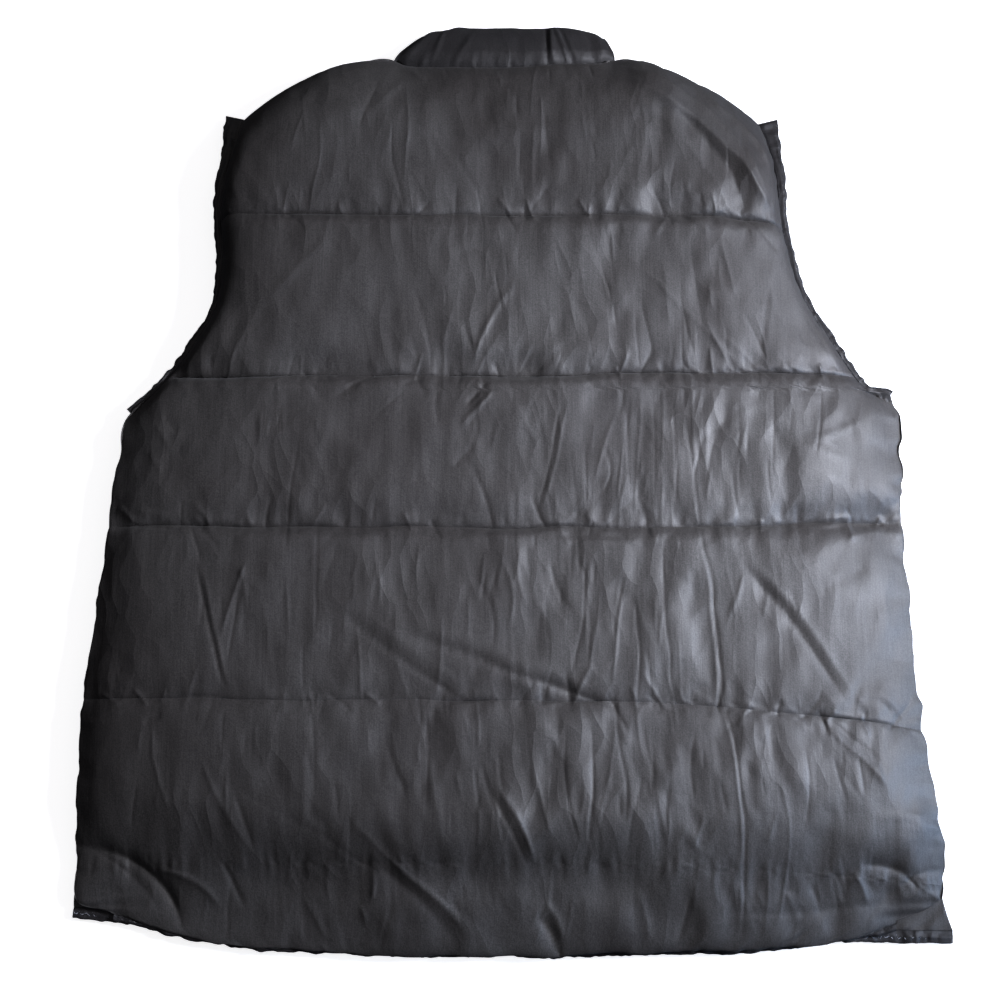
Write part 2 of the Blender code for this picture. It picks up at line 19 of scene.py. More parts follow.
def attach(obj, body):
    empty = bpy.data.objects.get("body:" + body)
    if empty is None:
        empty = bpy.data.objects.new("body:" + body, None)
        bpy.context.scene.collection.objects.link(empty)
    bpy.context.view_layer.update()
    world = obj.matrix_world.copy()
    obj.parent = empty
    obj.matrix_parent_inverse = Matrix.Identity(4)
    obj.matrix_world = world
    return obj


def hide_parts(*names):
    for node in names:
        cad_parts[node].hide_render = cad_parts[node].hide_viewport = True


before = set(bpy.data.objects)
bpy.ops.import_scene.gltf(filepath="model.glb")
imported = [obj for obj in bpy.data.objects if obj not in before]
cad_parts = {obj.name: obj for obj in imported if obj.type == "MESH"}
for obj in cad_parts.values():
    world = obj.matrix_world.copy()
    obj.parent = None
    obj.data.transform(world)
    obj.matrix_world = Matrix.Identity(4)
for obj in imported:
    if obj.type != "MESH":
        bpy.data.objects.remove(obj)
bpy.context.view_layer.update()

MM = 0.001

# ------------------------------------------------------------------ the view

CAMERA_DISTANCE, CAMERA_TILT = 1.45, 78.0
CAMERA_AIM = (-0.0084, -0.025, 0.03)
VIEW_WIDE, VIEW_PIXELS = 0.7593, 1000  # what the view spans at the aim, and its pixels


def shown_at(x, y, level):
    """The X and Y, in millimetres, of what shows at a pixel of the view, on a level plane."""
    tilt = math.radians(CAMERA_TILT)
    pixel = VIEW_WIDE / VIEW_PIXELS / CAMERA_DISTANCE
    across, up = (x - VIEW_PIXELS / 2) * pixel, (VIEW_PIXELS / 2 - y) * pixel
    camera_y = CAMERA_AIM[1] - CAMERA_DISTANCE * math.cos(tilt)
    camera_z = CAMERA_AIM[2] + CAMERA_DISTANCE * math.sin(tilt)
    reach = (level * MM - camera_z) / (up * math.cos(tilt) - math.sin(tilt))
    place_y = camera_y + reach * (up * math.sin(tilt) + math.cos(tilt))
    return (CAMERA_AIM[0] + reach * across) / MM, place_y / MM

# ------------------------------------------------------------------ sizes of the cut

SEAM_GAP = 0.3
LAID_GAP, LAID_REACH = 1.6, 12.0
SHELL_EDGE = 2.2  # both cloths with flattened padding, at a sewn edge

# The level where the back lies on the fronts
BED = 28.0
BED_DROP_SIDE, BED_REACH_SIDE = 11.0, 80.0
BED_DROP_HEM, BED_REACH_HEM = 19.0, 85.0
BED_DROP_SHOULDER, BED_REACH_SHOULDER = 8.0, 60.0
BED_LOWEST = 8.0

NECK_LEFT, NECK_RIGHT, NECK_CORNER_Y = -93.0, 83.0, 337.0
NECK_FRONT_Y, NECK_POWER = 247.0, 2.2
FRONT_EDGE_X = 9.6

# A row across the vest: its height at the left, in the middle and at the right, how sharply it
# bends towards its ends, how deep it pulls the padding in, how far that reaches above and below
# it, and how far the roll above laps over it
Line = namedtuple("Line", "left middle right bend dip above below lap")
LINE_HALF = 300.0
BACK_HEM = Line(-329, -358, -336, 3.5, 0, 1, 1, 0)
FRONT_HEM = Line(-329, -343, -344, 2, 0, 1, 1, 0)
QUILTING = (
    Line(-297, -296, -310, 2, 8, 20, 20, 0.0),
    Line(-176, -179, -199, 2, 3.5, 12, 9, 0.2),
    Line(-44, -50, -41, 2, 6.5, 15, 6, 0.8),
    Line(74, 68, 76, 2, 7.5, 15, 6, 1.4),
    Line(203, 196, 192, 2, 6.5, 18, 7, 0.6),
)

Place = namedtuple("Place", "x y")
BACK_SIDE_LEFT = (
    Place(-290, -331), Place(-311, -318), Place(-320, -296), Place(-320, -240), Place(-319, -176),
    Place(-311, -108), Place(-306, -45), Place(-299, 8), Place(-296, 40),
)
BACK_ARMHOLE_LEFT = (
    Place(-296, 40), Place(-275, 62), Place(-258, 82), Place(-243, 106), Place(-230, 130),
    Place(-226, 168), Place(-229, 206), Place(-226, 238), Place(-215, 290),
)
BACK_SIDE_RIGHT = (
    Place(281, -338), Place(304, -328), Place(317, -309), Place(309, -230), Place(304, -190),
    Place(298, -100), Place(297, -30), Place(295, 54),
)
BACK_ARMHOLE_RIGHT = (
    Place(295, 54), Place(276, 63), Place(263, 80), Place(247, 106), Place(234, 127),
    Place(223, 153), Place(214, 196), Place(209, 250), Place(200, 286),
)
FRONT_CORNER_LEFT = (Place(-323, -329), Place(-323, -318))
FRONT_CORNER_RIGHT = (Place(325, -345), Place(320, -328))
SHOULDER_LEFT = (
    Place(-215, 290), Place(-181, 312), Place(-144, 329), Place(-119, 335),
    Place(NECK_LEFT, NECK_CORNER_Y),
)
SHOULDER_RIGHT = (
    Place(NECK_RIGHT, NECK_CORNER_Y), Place(106, 335), Place(135, 323), Place(170, 306),
    Place(200, 286),
)
BACK_NECK = (
    Place(NECK_LEFT, NECK_CORNER_Y), Place(-74, 328), Place(-6, 325), Place(62, 331),
    Place(NECK_RIGHT, NECK_CORNER_Y),
)

# ------------------------------------------------------------------ padding

CROWN_BACK = 27.0
GROOVE_FRONT, GROOVE_HALF = 9.0, 30.0
NICK = 2.0  # how far from a row the thread's own nick reaches
HEM_ROW_SHIFT = 9.0  # the lowest row isn't sewn through the back, and its dip lies lower
# how far inwards from an edge the padding reaches its height
ROLL_SIDE, ROLL_SHOULDER, ROLL_NECK = 46.0, 34.0, 34.0
ROLL_HEM, ROLL_FRONT_EDGE = 70.0, 26.0
# how full the back is at a distance from its side seams
SIDE_FULL = ((0, 0), (2, 0.13), (25, 0.41), (60, 0.53), (110, 0.71), (170, 0.86), (300, 1))
NECK_FULL = ((0, 0), (1.5, 0.28), (6, 0.47), (16, 0.68), (34, 0.88), (60, 1))
ARMHOLE_FULL = ((0, 0), (1.5, 0.25), (5, 0.53), (10, 0.73), (20, 0.86), (40, 0.95), (75, 1))
# The fold at the right end of the middle row: how deep, and how far it reaches up and down
DEEP_FOLD, DEEP_FOLD_REACH = 5.0, (13.0, 20.0)
HEM_OVER, HEM_OVER_REACH = 9.0, 12.0  # how far the roll above the hem bulges over its binding

# ------------------------------------------------------------------ creases

# A crease laid into the cloth: its ends, how far its middle bows to the left of the way from one
# to the other, half its width, and its height (a trough is negative)
Crease = namedtuple("Crease", "x1 y1 x2 y2 bow wide high")
CREASE_LEVEL = 50.0  # how high the padding is, about, where the creases show
FINER, LOWER, FINEST = 0.7, 0.75, 1.0  # shares of a width and of a height, and the least width


def seen(x1, y1, x2, y2, wide, high, via=None):
    """A crease between two pixels of the view, bowed where it passes near a third, via."""
    start, end = shown_at(x1, y1, CREASE_LEVEL), shown_at(x2, y2, CREASE_LEVEL)
    bow = 0
    if via:
        middle = shown_at(*via, CREASE_LEVEL)
        left = (start[1] - end[1], end[0] - start[0])
        bow = (middle[0] - start[0]) * left[0] + (middle[1] - start[1]) * left[1]
        bow /= math.dist(start, end)
    return Crease(*(round(value) for value in (*start, *end, bow)), wide, high)


def finer(x1, y1, x2, y2, wide, high, via=None):
    """A crease as seen lays it, but finer and lower than the size that it is written with."""
    return seen(x1, y1, x2, y2, max(FINEST, round(FINER * wide, 1)), round(LOWER * high, 2), via)


# Places in the rows are pixels of the view, or millimetres where a Crease stands as it is. Widths
# and heights are always millimetres.
BACK_CREASES = (
    # upper left and under the collar
    finer(305, 115, 292, 150, 1.5, 0.5),
    finer(330, 240, 265, 300, 8, 1.4),
    finer(405, 80, 370, 115, 4, 1.2),
    finer(378, 80, 358, 130, 3, -1),
    finer(412, 65, 428, 80, 2.5, 1.2, via=(418, 74)),
    finer(443, 62, 450, 78, 2, -0.8),
    finer(495, 68, 500, 86, 2, 0.8),
    finer(548, 66, 550, 80, 1.8, -0.9),
    finer(590, 60, 592, 76, 1.8, -1.6),
    finer(480, 68, 560, 115, 3, 1.3, via=(515, 88)),
    finer(505, 88, 507, 105, 1.5, 0.6),
    finer(515, 95, 518, 120, 2, -0.8),
    finer(455, 155, 478, 195, 2, -0.6),
    finer(535, 125, 530, 190, 5, 1),
    finer(545, 115, 548, 165, 4, -0.8),
    finer(521, 130, 523, 200, 4, -0.5),
    finer(580, 80, 582, 100, 1.4, 0.5),
    finer(582, 120, 588, 145, 1.5, 0.5),
    finer(505, 245, 450, 260, 4, -1),
    finer(640, 95, 646, 150, 6, 0.9),
    finer(662, 110, 655, 175, 7, -0.8),
    finer(340, 130, 330, 185, 7, 0.8),
    # right shoulder
    seen(622, 62, 770, 195, 4.2, 1.9, via=(700, 104)),
    Crease(90, 310, 210, 190, 13, 6.5, 4.4),
    Crease(126, 280, 184, 200, 8, 7, -3),
    Crease(150, 298, 206, 235, 7, 4.2, 2),
    seen(640, 66, 756, 142, 3.6, 1.1, via=(703, 97)),
    seen(668, 80, 768, 165, 3.8, -1.2, via=(722, 112)),
    finer(612, 92, 728, 210, 6, 1.6, via=(672, 130)),
    finer(681, 185, 687, 200, 2, -0.5),
    finer(742, 217, 780, 250, 3, -1.5, via=(757, 226)),
    finer(768, 212, 790, 235, 4, 1.6),
    finer(590, 78, 640, 118, 5, 0.9),
    # left below the armhole
    finer(222, 381, 262, 384, 2, -1),
    finer(207, 352, 210, 370, 2, -0.8),
    finer(360, 383, 335, 395, 3, -1.1),
    finer(175, 455, 206, 450, 3, -1.1),
    finer(150, 420, 168, 446, 2.5, 0.9),
    finer(158, 412, 176, 430, 2.5, -0.8),
    finer(146, 448, 160, 470, 2.5, 0.8),
    finer(300, 440, 285, 560, 1.5, -0.6, via=(293, 475)),
    finer(281, 400, 275, 430, 1.3, -0.5),
    finer(122, 517, 182, 526, 3, -1.6, via=(150, 524)),
    finer(112, 500, 137, 520, 3, 1.8, via=(124, 510)),
    finer(186, 515, 200, 560, 2, -0.8),
    finer(132, 505, 168, 512, 4, 1),
    # middle
    finer(340, 392, 398, 371, 2.5, -1.5, via=(368, 377)),
    finer(400, 386, 420, 379, 2, -0.8),
    seen(522, 282, 474, 364, 1.8, 1.2, via=(491, 320)),
    finer(462, 322, 474, 353, 2, -1),
    finer(455, 300, 440, 350, 6, 0.8),
    finer(487, 383, 464, 408, 3, -1.9),
    finer(493, 394, 458, 430, 2.5, 1.8),
    finer(474, 448, 453, 468, 4, -1.4),
    seen(563, 404, 535, 514, 1.1, -0.55, via=(549, 462)),
    seen(568, 404, 541, 512, 1.1, 0.5, via=(555, 462)),
    finer(600, 446, 594, 497, 2, -1, via=(610, 470)),
    finer(530, 539, 640, 538, 2, -1),
    finer(560, 545, 700, 541, 3, 0.6),
    # right of the middle
    finer(682, 300, 684, 420, 1.4, -0.6),
    finer(684, 420, 705, 562, 1.4, -0.6),
    finer(770, 285, 762, 350, 1.5, -0.7),
    finer(776, 285, 769, 350, 1.5, 0.6),
    finer(760, 365, 758, 400, 1.5, -0.6),
    finer(775, 380, 774, 480, 1.5, -0.6),
    finer(805, 440, 870, 418, 2.5, 1),
    finer(805, 440, 852, 458, 2.5, 1),
    finer(640, 385, 636, 520, 1.4, 0.5),
    finer(652, 390, 655, 500, 1.4, -0.5),
    finer(664, 380, 660, 470, 1.4, 0.5),
    finer(672, 400, 677, 515, 1.4, -0.6),
    finer(628, 395, 622, 480, 1.4, -0.5),
    finer(690, 385, 694, 470, 1.4, 0.5),
    finer(735, 390, 742, 500, 1.5, -0.4),
    finer(720, 240, 735, 300, 6, 1.2),
    finer(690, 250, 702, 330, 7, -1),
    finer(660, 260, 672, 330, 6, 0.9),
    finer(705, 320, 730, 365, 4, 1.3),
    finer(745, 315, 770, 362, 4, -1.2),
    finer(640, 300, 655, 360, 4, -0.9),
    # left hip
    finer(195, 560, 224, 692, 1.8, -1.6, via=(210, 625)),
    finer(203, 565, 229, 690, 1.6, 0.9, via=(217, 630)),
    finer(248, 560, 222, 634, 1.8, 1.2, via=(236, 592)),
    finer(240, 590, 228, 668, 1.5, -0.7),
    finer(95, 690, 116, 706, 2.2, 1),
    finer(130, 688, 144, 707, 2.5, 1.4),
    finer(160, 714, 140, 723, 2.5, -1.2),
    finer(170, 695, 267, 705, 2.2, -1.4, via=(220, 699)),
    finer(152, 722, 172, 815, 2, 0.9, via=(155, 770)),
    finer(200, 755, 250, 850, 2, 1, via=(218, 797)),
    finer(222, 710, 224, 746, 1.6, -0.7),
    finer(233, 790, 253, 850, 2.2, -1.1),
    finer(262, 600, 275, 680, 6, 0.7),
    # waist
    seen(342, 612, 465, 700, 1.8, -1, via=(400, 659)),
    finer(350, 606, 472, 692, 5, 0.9, via=(410, 650)),
    seen(400, 632, 622, 712, 2.3, -1.8, via=(500, 668)),
    seen(408, 622, 600, 694, 5, 1, via=(505, 657)),
    finer(626, 572, 611, 691, 1.5, 0.8, via=(619, 621)),
    finer(611, 690, 628, 826, 1.5, -0.8, via=(616, 722)),
    finer(635, 596, 634, 706, 1.5, -0.8, via=(637, 645)),
    finer(634, 705, 643, 766, 1.5, 0.6, via=(638, 735)),
    finer(660, 540, 670, 702, 1.5, -0.8, via=(667, 624)),
    finer(695, 730, 696, 808, 1.5, -0.7, via=(690, 765)),
    finer(584, 561, 572, 676, 1.5, -0.8, via=(583, 612)),
    finer(549, 561, 575, 618, 1.8, -0.9, via=(560, 600)),
    finer(500, 560, 508, 630, 2.2, 1, via=(512, 590)),
    finer(470, 575, 492, 650, 2.2, -0.9, via=(488, 600)),
    finer(522, 548, 527, 610, 2.5, 0.9, via=(518, 585)),
    # right hip
    seen(740, 562, 852, 706, 2.4, -2, via=(800, 632)),
    seen(749, 560, 861, 702, 2.2, 1.2, via=(810, 628)),
    finer(745, 575, 726, 626, 1.6, 1.1, via=(737, 600)),
    finer(702, 540, 726, 708, 1.5, -1.1, via=(715, 610)),
    finer(698, 540, 721, 708, 1.6, 0.6, via=(710, 610)),
    finer(726, 708, 745, 950, 1.5, -1.1, via=(739, 770)),
    finer(722, 708, 741, 940, 1.6, 0.6, via=(735, 770)),
    finer(827, 723, 840, 711, 2.5, 1.5),
    finer(828, 726, 892, 787, 2.4, 1.7, via=(858, 753)),
    finer(832, 719, 897, 779, 2.4, -1.4, via=(862, 745)),
    finer(865, 698, 897, 714, 3, -1.7, via=(886, 699)),
    finer(888, 688, 911, 721, 2.5, 1),
    finer(805, 745, 803, 832, 1.6, -0.7, via=(809, 790)),
    finer(775, 810, 765, 846, 2.5, 0.9),
    finer(705, 815, 693, 850, 2.2, 0.9),
    finer(762, 720, 770, 770, 5, 0.7),
    # bottom baffle
    finer(388, 750, 410, 800, 1.8, -0.7),
    finer(475, 770, 478, 810, 1.6, -0.7),
    seen(498, 786, 536, 862, 2.4, 2, via=(514, 815)),
    seen(489, 790, 527, 864, 2.2, -1.3, via=(505, 822)),
    finer(481, 768, 504, 842, 1.6, -0.8),
    finer(532, 772, 553, 838, 1.6, 0.7),
    finer(563, 750, 584, 850, 1.5, -0.8, via=(569, 803)),
    finer(591, 736, 586, 858, 1.5, -0.8, via=(591, 800)),
    finer(350, 820, 390, 860, 3, 1.1),
    finer(640, 775, 628, 850, 1.6, -0.6),
    finer(655, 790, 668, 850, 3, 0.9),
    finer(430, 760, 445, 850, 5, 0.8),
    # hem
    seen(75, 845, 175, 925, 5.5, -4, via=(130, 862)),
    finer(145, 870, 216, 905, 3, 2, via=(185, 880)),
    finer(215, 860, 240, 905, 3, -1.6),
    finer(225, 930, 256, 945, 3, -1.3),
    finer(358, 906, 363, 923, 2, 1.6),
    seen(380, 850, 470, 935, 3.2, 1.9, via=(428, 893)),
    seen(372, 858, 452, 938, 3.2, -1, via=(418, 900)),
    seen(535, 916, 566, 952, 2.8, -2.6, via=(553, 930)),
    finer(546, 904, 567, 936, 3, 2.2),
    Crease(199, -316, 209, -338, 0, 3, 1.2),
    Crease(216, -310, 226, -336, 2, 3.4, -1.3),
    Crease(248, -302, 260, -326, 3, 4.5, 2),
    Crease(254, -297, 299, -316, 9, 5.5, -4.5),
    Crease(150, -331, 272, -324, -3, 3.4, -0.9),
    Crease(232, -300, 243, -326, 3, 4.4, -1.4),
    finer(300, 895, 322, 935, 3.5, 1.2),
    finer(640, 890, 655, 945, 4, 1.3),
    finer(690, 895, 682, 940, 3.5, -1.1),
    # right side seam
    finer(820, 531, 890, 518, 3, -2.2, via=(855, 522)),
    finer(850, 541, 889, 527, 3.5, 1.8, via=(865, 530)),
    finer(832, 517, 858, 512, 2.5, 1.3),
    finer(870, 560, 848, 576, 2.5, -1.1),
    finer(850, 576, 820, 592, 2.5, -0.9),
    finer(868, 480, 890, 500, 3, 1),
    finer(872, 440, 893, 446, 3, -1),
    finer(874, 610, 905, 628, 3, 1),
    finer(872, 660, 910, 652, 3, -1),
    finer(880, 820, 930, 812, 3, 1.1),
)

# Bundles of fine creases: the middle, how far they spread across and up, how many
CREASE_BUNDLES = (
    (110, -5, 28, 36, 26), (75, -115, 26, 38, 30), (-5, -95, 26, 30, 18), (20, 10, 30, 40, 16),
    (-40, 95, 40, 36, 14), (60, 110, 40, 36, 12), (150, 90, 34, 34, 14), (190, 20, 26, 36, 14),
    (-110, -100, 36, 40, 12), (-205, -120, 26, 36, 10), (-170, 10, 40, 40, 10), (180, -120, 34, 40, 14),
    (-30, -240, 40, 30, 16), (60, -245, 30, 34, 16), (150, -250, 34, 34, 12), (-130, -240, 40, 30, 12),
    (-220, -235, 34, 34, 10), (230, -240, 28, 34, 10), (40, 240, 60, 36, 12), (150, 250, 26, 36, 12),
    (-120, 250, 40, 36, 9), (0, -325, 90, 10, 14), (180, -325, 50, 10, 10), (-180, -315, 60, 12, 10),
    (30, 0, 170, 190, 30),
)

# ------------------------------------------------------------------ small maths


def eased(share):
    """0 to 1 as share goes from 0 to 1, level at both ends."""
    share = np.clip(share, 0, 1)
    return share * share * (3 - 2 * share)


def rounded(away, reach, power=0.5):
    """0 at an edge, 1 from reach inwards, in a round."""
    return (1 - (1 - np.clip(away / reach, 0, 1)) ** 2) ** power


def ripple(x, y, seed):
    """Smooth noise between -1 and 1 that changes over about one unit of x and y."""
    side = 256
    table = np.random.default_rng(seed).uniform(-1, 1, (side, side))
    i, j = np.floor(x).astype(int), np.floor(y).astype(int)
    u, v = x - i, y - j
    u, v = (w**3 * (w * (6 * w - 15) + 10) for w in (u, v))
    low = table[i % side, j % side] * (1 - u) + table[(i + 1) % side, j % side] * u
    high = table[i % side, (j + 1) % side] * (1 - u) + table[(i + 1) % side, (j + 1) % side] * u
    return low * (1 - v) + high * v


def crowded(count, extra, reach):
    """count + 1 shares from 0 to 1, closer together towards both ends."""
    fine = np.linspace(0, 1, 2001)
    density = 1 + extra * (np.exp(-fine / reach) + np.exp(-(1 - fine) / reach))
    total = np.concatenate([[0], np.cumsum((density[1:] + density[:-1]) / 2)])
    return np.interp(np.linspace(0, 1, count + 1), total / total[-1], fine)


def through(points, steps):
    """A smooth curve (Catmull-Rom) through points, with some steps from each to the next."""
    points = np.asarray(points, float)
    ends = np.concatenate([[2 * points[0] - points[1]], points, [2 * points[-1] - points[-2]]])
    t = np.linspace(0, 1, steps, endpoint=False)
    t = t.reshape((-1,) + (1,) * (points.ndim - 1))
    found = []
    for a, b, c, d in zip(ends, ends[1:], ends[2:], ends[3:]):
        found.append(
            0.5 * (2 * b + (c - a) * t + (2 * a - 5 * b + 4 * c - d) * t**2
                   + (3 * b - a - 3 * c + d) * t**3)
        )
    return np.concatenate([*found, points[-1:]])


def plan(places):
    """A table's rows as an array of numbers."""
    return np.array(places, float)


def distance(points, outline):
    """The distance in plan from each point to an open outline."""
    best = np.full(len(points), np.inf)
    for a, b in zip(outline[:-1], outline[1:]):
        run = b - a
        share = np.clip(((points - a) @ run) / (run @ run), 0, 1)
        best = np.minimum(best, np.linalg.norm(points - a - share[:, None] * run, axis=1))
    return best


def nearest(points, outlines):
    """The distance in plan from each point to the nearest of some outlines."""
    return np.min([distance(points, outline) for outline in outlines], axis=0)


# ------------------------------------------------------------------ plan of the vest

CURVE_STEPS = 6


def line_y(line, x):
    """How far up the vest a row of quilting or a hem is at x."""
    end = np.where(x < 0, line.left, line.right)
    return line.middle + (end - line.middle) * np.abs(x / LINE_HALF) ** line.bend


def along(places, x):
    """How far up a curve through some places is at x."""
    points = through(plan(places), CURVE_STEPS)
    return np.interp(x, points[:, 0], points[:, 1])


def top_of_back(x):
    """How far up the back's top edge is at x."""
    return along(SHOULDER_LEFT + BACK_NECK[1:-1] + SHOULDER_RIGHT, x)


def top_of_front(x):
    """How far up the fronts' top edge is at x: the neckline is lower there."""
    corner = np.where(x < 0, NECK_LEFT, NECK_RIGHT)
    neckline = NECK_FRONT_Y + (NECK_CORNER_Y - NECK_FRONT_Y) * np.abs(x / corner) ** NECK_POWER
    inside = (x > NECK_LEFT) & (x < NECK_RIGHT)
    return np.where(inside, neckline, along(SHOULDER_LEFT + SHOULDER_RIGHT, x))


def outline_of(line, left, right):
    """Points along a row of quilting or a hem, from one X to another."""
    x = np.linspace(left, right, 25)
    return np.column_stack([x, line_y(line, x)])


FRONT_SIDE_LEFT = FRONT_CORNER_LEFT + BACK_SIDE_LEFT[2:]
FRONT_SIDE_RIGHT = FRONT_CORNER_RIGHT + BACK_SIDE_RIGHT[2:]
FRONT_LEFT = FRONT_SIDE_LEFT + BACK_ARMHOLE_LEFT[1:]
FRONT_RIGHT = FRONT_SIDE_RIGHT + BACK_ARMHOLE_RIGHT[1:]
BODY_SIDES = (plan(FRONT_LEFT), plan(FRONT_RIGHT))
SHOULDERS = (plan(SHOULDER_LEFT), plan(SHOULDER_RIGHT))
SIDE_SEAMS = (plan(BACK_SIDE_LEFT[2:]), plan(BACK_SIDE_RIGHT[2:]))
FRONT_HEM_OUTLINE = outline_of(FRONT_HEM, FRONT_CORNER_LEFT[0].x, FRONT_CORNER_RIGHT[0].x)


def bed(points):
    """The level where the back lies on the fronts, lower towards its edges."""
    side = BED_DROP_SIDE * (1 - eased(nearest(points, BODY_SIDES) / BED_REACH_SIDE))
    hem = BED_DROP_HEM * (1 - eased(distance(points, FRONT_HEM_OUTLINE) / BED_REACH_HEM))
    shoulder = BED_DROP_SHOULDER * (1 - eased(nearest(points, SHOULDERS) / BED_REACH_SHOULDER))
    return np.maximum(BED - side - hem - shoulder, BED_LOWEST)


def clearance(points):
    """Half the gap between the back and the fronts, least at the seams that join them."""
    away = nearest(points, (*SIDE_SEAMS, *SHOULDERS))
    return (SEAM_GAP + (LAID_GAP - SEAM_GAP) * np.clip(away / LAID_REACH, 0, 1)) / 2


# ------------------------------------------------------------------ panels

Panel = namedtuple("Panel", "points level shape")  # level counts the rows passed on the way up


def level_at(lines, top, points):
    """How many rows each point has passed on the way up, and what share of the next."""
    heights = np.stack([line_y(line, points[:, 0]) for line in lines] + [top(points[:, 0])])
    low = np.clip((points[:, 1] >= heights).sum(axis=0) - 1, 0, len(lines) - 1)
    n = np.arange(len(points))
    a, b = heights[low, n], heights[low + 1, n]
    return low + (points[:, 1] - a) / (b - a)


def edge_x(lines, top, side, levels):
    """x of an edge at each level. side is an outline, or one x all the way."""
    if isinstance(side, float):
        return np.full(len(levels), side)
    points = through(plan(side), CURVE_STEPS)
    known = np.maximum.accumulate(level_at(lines, top, points))
    known[0], known[-1] = 0.0, float(len(lines))
    return np.interp(levels, known, points[:, 0])


def panel_grid(lines, top, left, right, rows, columns):
    """A fine net that follows the rows of quilting, closer together at them and at the edges."""
    levels = [np.array([0.0])]
    for step, count in enumerate(rows):
        levels.append(step + crowded(count, 2.0, 0.08)[1:])
    levels = np.concatenate(levels)
    a, b = (edge_x(lines, top, side, levels)[:, None] for side in (left, right))
    x = a + (b - a) * crowded(columns, 2.5, 0.04)
    heights = np.stack([line_y(line, x) for line in lines] + [top(x)])
    low = np.minimum(levels.astype(int), len(lines) - 1)
    part = (levels - low)[:, None]
    row = np.arange(len(levels))
    y = heights[low, row] * (1 - part) + heights[low + 1, row] * part
    return Panel(np.column_stack([x.ravel(), y.ravel()]), np.repeat(levels, x.shape[1]), x.shape)


def valleys(points):
    """How far the rows of quilting pull the padding in: a nick at the thread in a wide soft dip."""
    deepest = np.zeros(len(points))
    for number, line in enumerate(QUILTING):
        off = points[:, 1] - line_y(line, points[:, 0]) + (HEM_ROW_SHIFT if number == 0 else 0)
        reach = np.where(off > 0, line.above, line.below)
        reach = reach * (1 + 0.2 * ripple(points[:, 0] / 60, off * 0, 100 + number))
        away = np.abs(off)
        nick = 0.38 * (1 + 0.5 * ripple(points[:, 0] / 30, off * 0, 110 + number)) * (number > 0)
        dip = nick * np.exp(-away / NICK) + (1 - nick) * np.exp(-((away / reach) ** 2))
        depth = line.dip * (1 + 0.3 * ripple(points[:, 0] / 80, off * 0, 105 + number))
        if number == 0:
            ends = 0.75 * eased((points[:, 0] - 40) / 130) + 0.85 * eased((-points[:, 0] - 150) / 90)
            depth = depth * (1 - ends)
        deepest = np.maximum(deepest, depth * dip)
    return deepest


CREASE_ROUND = 0.12  # how blunt a crease is, as a share of its width


def hairlines(seed):
    """Fine creases left by wear, in bundles that nearly stand upright, with strays between them."""
    draw = np.random.default_rng(seed)
    found = []
    for x, y, wide, high, count in CREASE_BUNDLES:
        lean = draw.normal(0.03, 0.08)
        for _ in range(count):
            own = lean + draw.normal(0, 0.16) if draw.random() < 0.75 else draw.normal(0, 0.9)
            long = min(12 + draw.exponential(24), 85)
            at_x, at_y = x + draw.normal(0, wide), y + draw.normal(0, high) + long / 2
            found.append(Crease(at_x, at_y, at_x + own * long, at_y - long,
                                draw.normal(0, 0.03) * long, draw.uniform(0.9, 1.7),
                                draw.choice([-1, 1]) * draw.uniform(0.15, 0.55)))
    return found


def row_tucks(seed):
    """Short slanting tucks where a row of quilting gathers the cloth, more of them to the right."""
    draw = np.random.default_rng(seed)
    found = []
    for line in QUILTING[1:]:
        for _ in range(28):
            x, up = draw.uniform(-285, 285), 1 if draw.random() < 0.65 else -1
            long, lean = draw.uniform(9, 30), draw.normal(0.1, 0.55)
            y = line_y(line, x) - up * 5
            high = draw.choice([-1, 1]) * draw.uniform(0.5, 1.5) * (0.75 + x / 900)
            found.append(Crease(x, y, x + long * lean, y + up * long, draw.normal(0, 0.06) * long,
                                draw.uniform(1.2, 2.4), high))
    return found


def crease_height(points, creases):
    """The height that a list of creases adds at each point."""
    added = np.zeros(len(points))
    for crease in creases:
        a, b = np.array([crease.x1, crease.y1], float), np.array([crease.x2, crease.y2], float)
        left = np.array([a[1] - b[1], b[0] - a[0]]) / np.linalg.norm(b - a)
        t = np.linspace(0, 1, 9)[:, None]
        bend = (a + b) / 2 + left * 2 * crease.bow
        line = a * (1 - t) ** 2 + bend * 2 * t * (1 - t) + b * t**2
        reach = 4 * crease.wide
        low, high = line.min(axis=0) - reach, line.max(axis=0) + reach
        near = np.flatnonzero(((points > low) & (points < high)).all(axis=1))
        if not len(near):
            continue
        place = points[near]
        best = np.full(len(near), np.inf)
        part = np.zeros(len(near))
        for n, (p, q) in enumerate(zip(line[:-1], line[1:])):
            run = q - p
            share = np.clip(((place - p) @ run) / (run @ run), 0, 1)
            off = place - p - share[:, None] * run
            away = np.linalg.norm(off, axis=1)
            closer = away < best
            best = np.where(closer, away, best)
            part = np.where(closer, (n + share) / 8, part)
        taper = np.clip(1.8 * np.sin(np.pi * np.clip(part, 0, 1)), 0, 1)
        round_off = CREASE_ROUND * crease.wide
        shape = np.exp(-(np.sqrt(best**2 + round_off**2) - round_off) / crease.wide)
        added[near] += crease.high * taper * shape
    return added


def border_of(shape):
    """The numbers of a net's border, once round."""
    rows, columns = shape
    rim = [(0, c) for c in range(columns)] + [(r, columns - 1) for r in range(1, rows)]
    rim += [(rows - 1, c) for c in range(columns - 2, -1, -1)]
    rim += [(r, 0) for r in range(rows - 2, 0, -1)]
    return np.array([r * columns + c for r, c in rim])


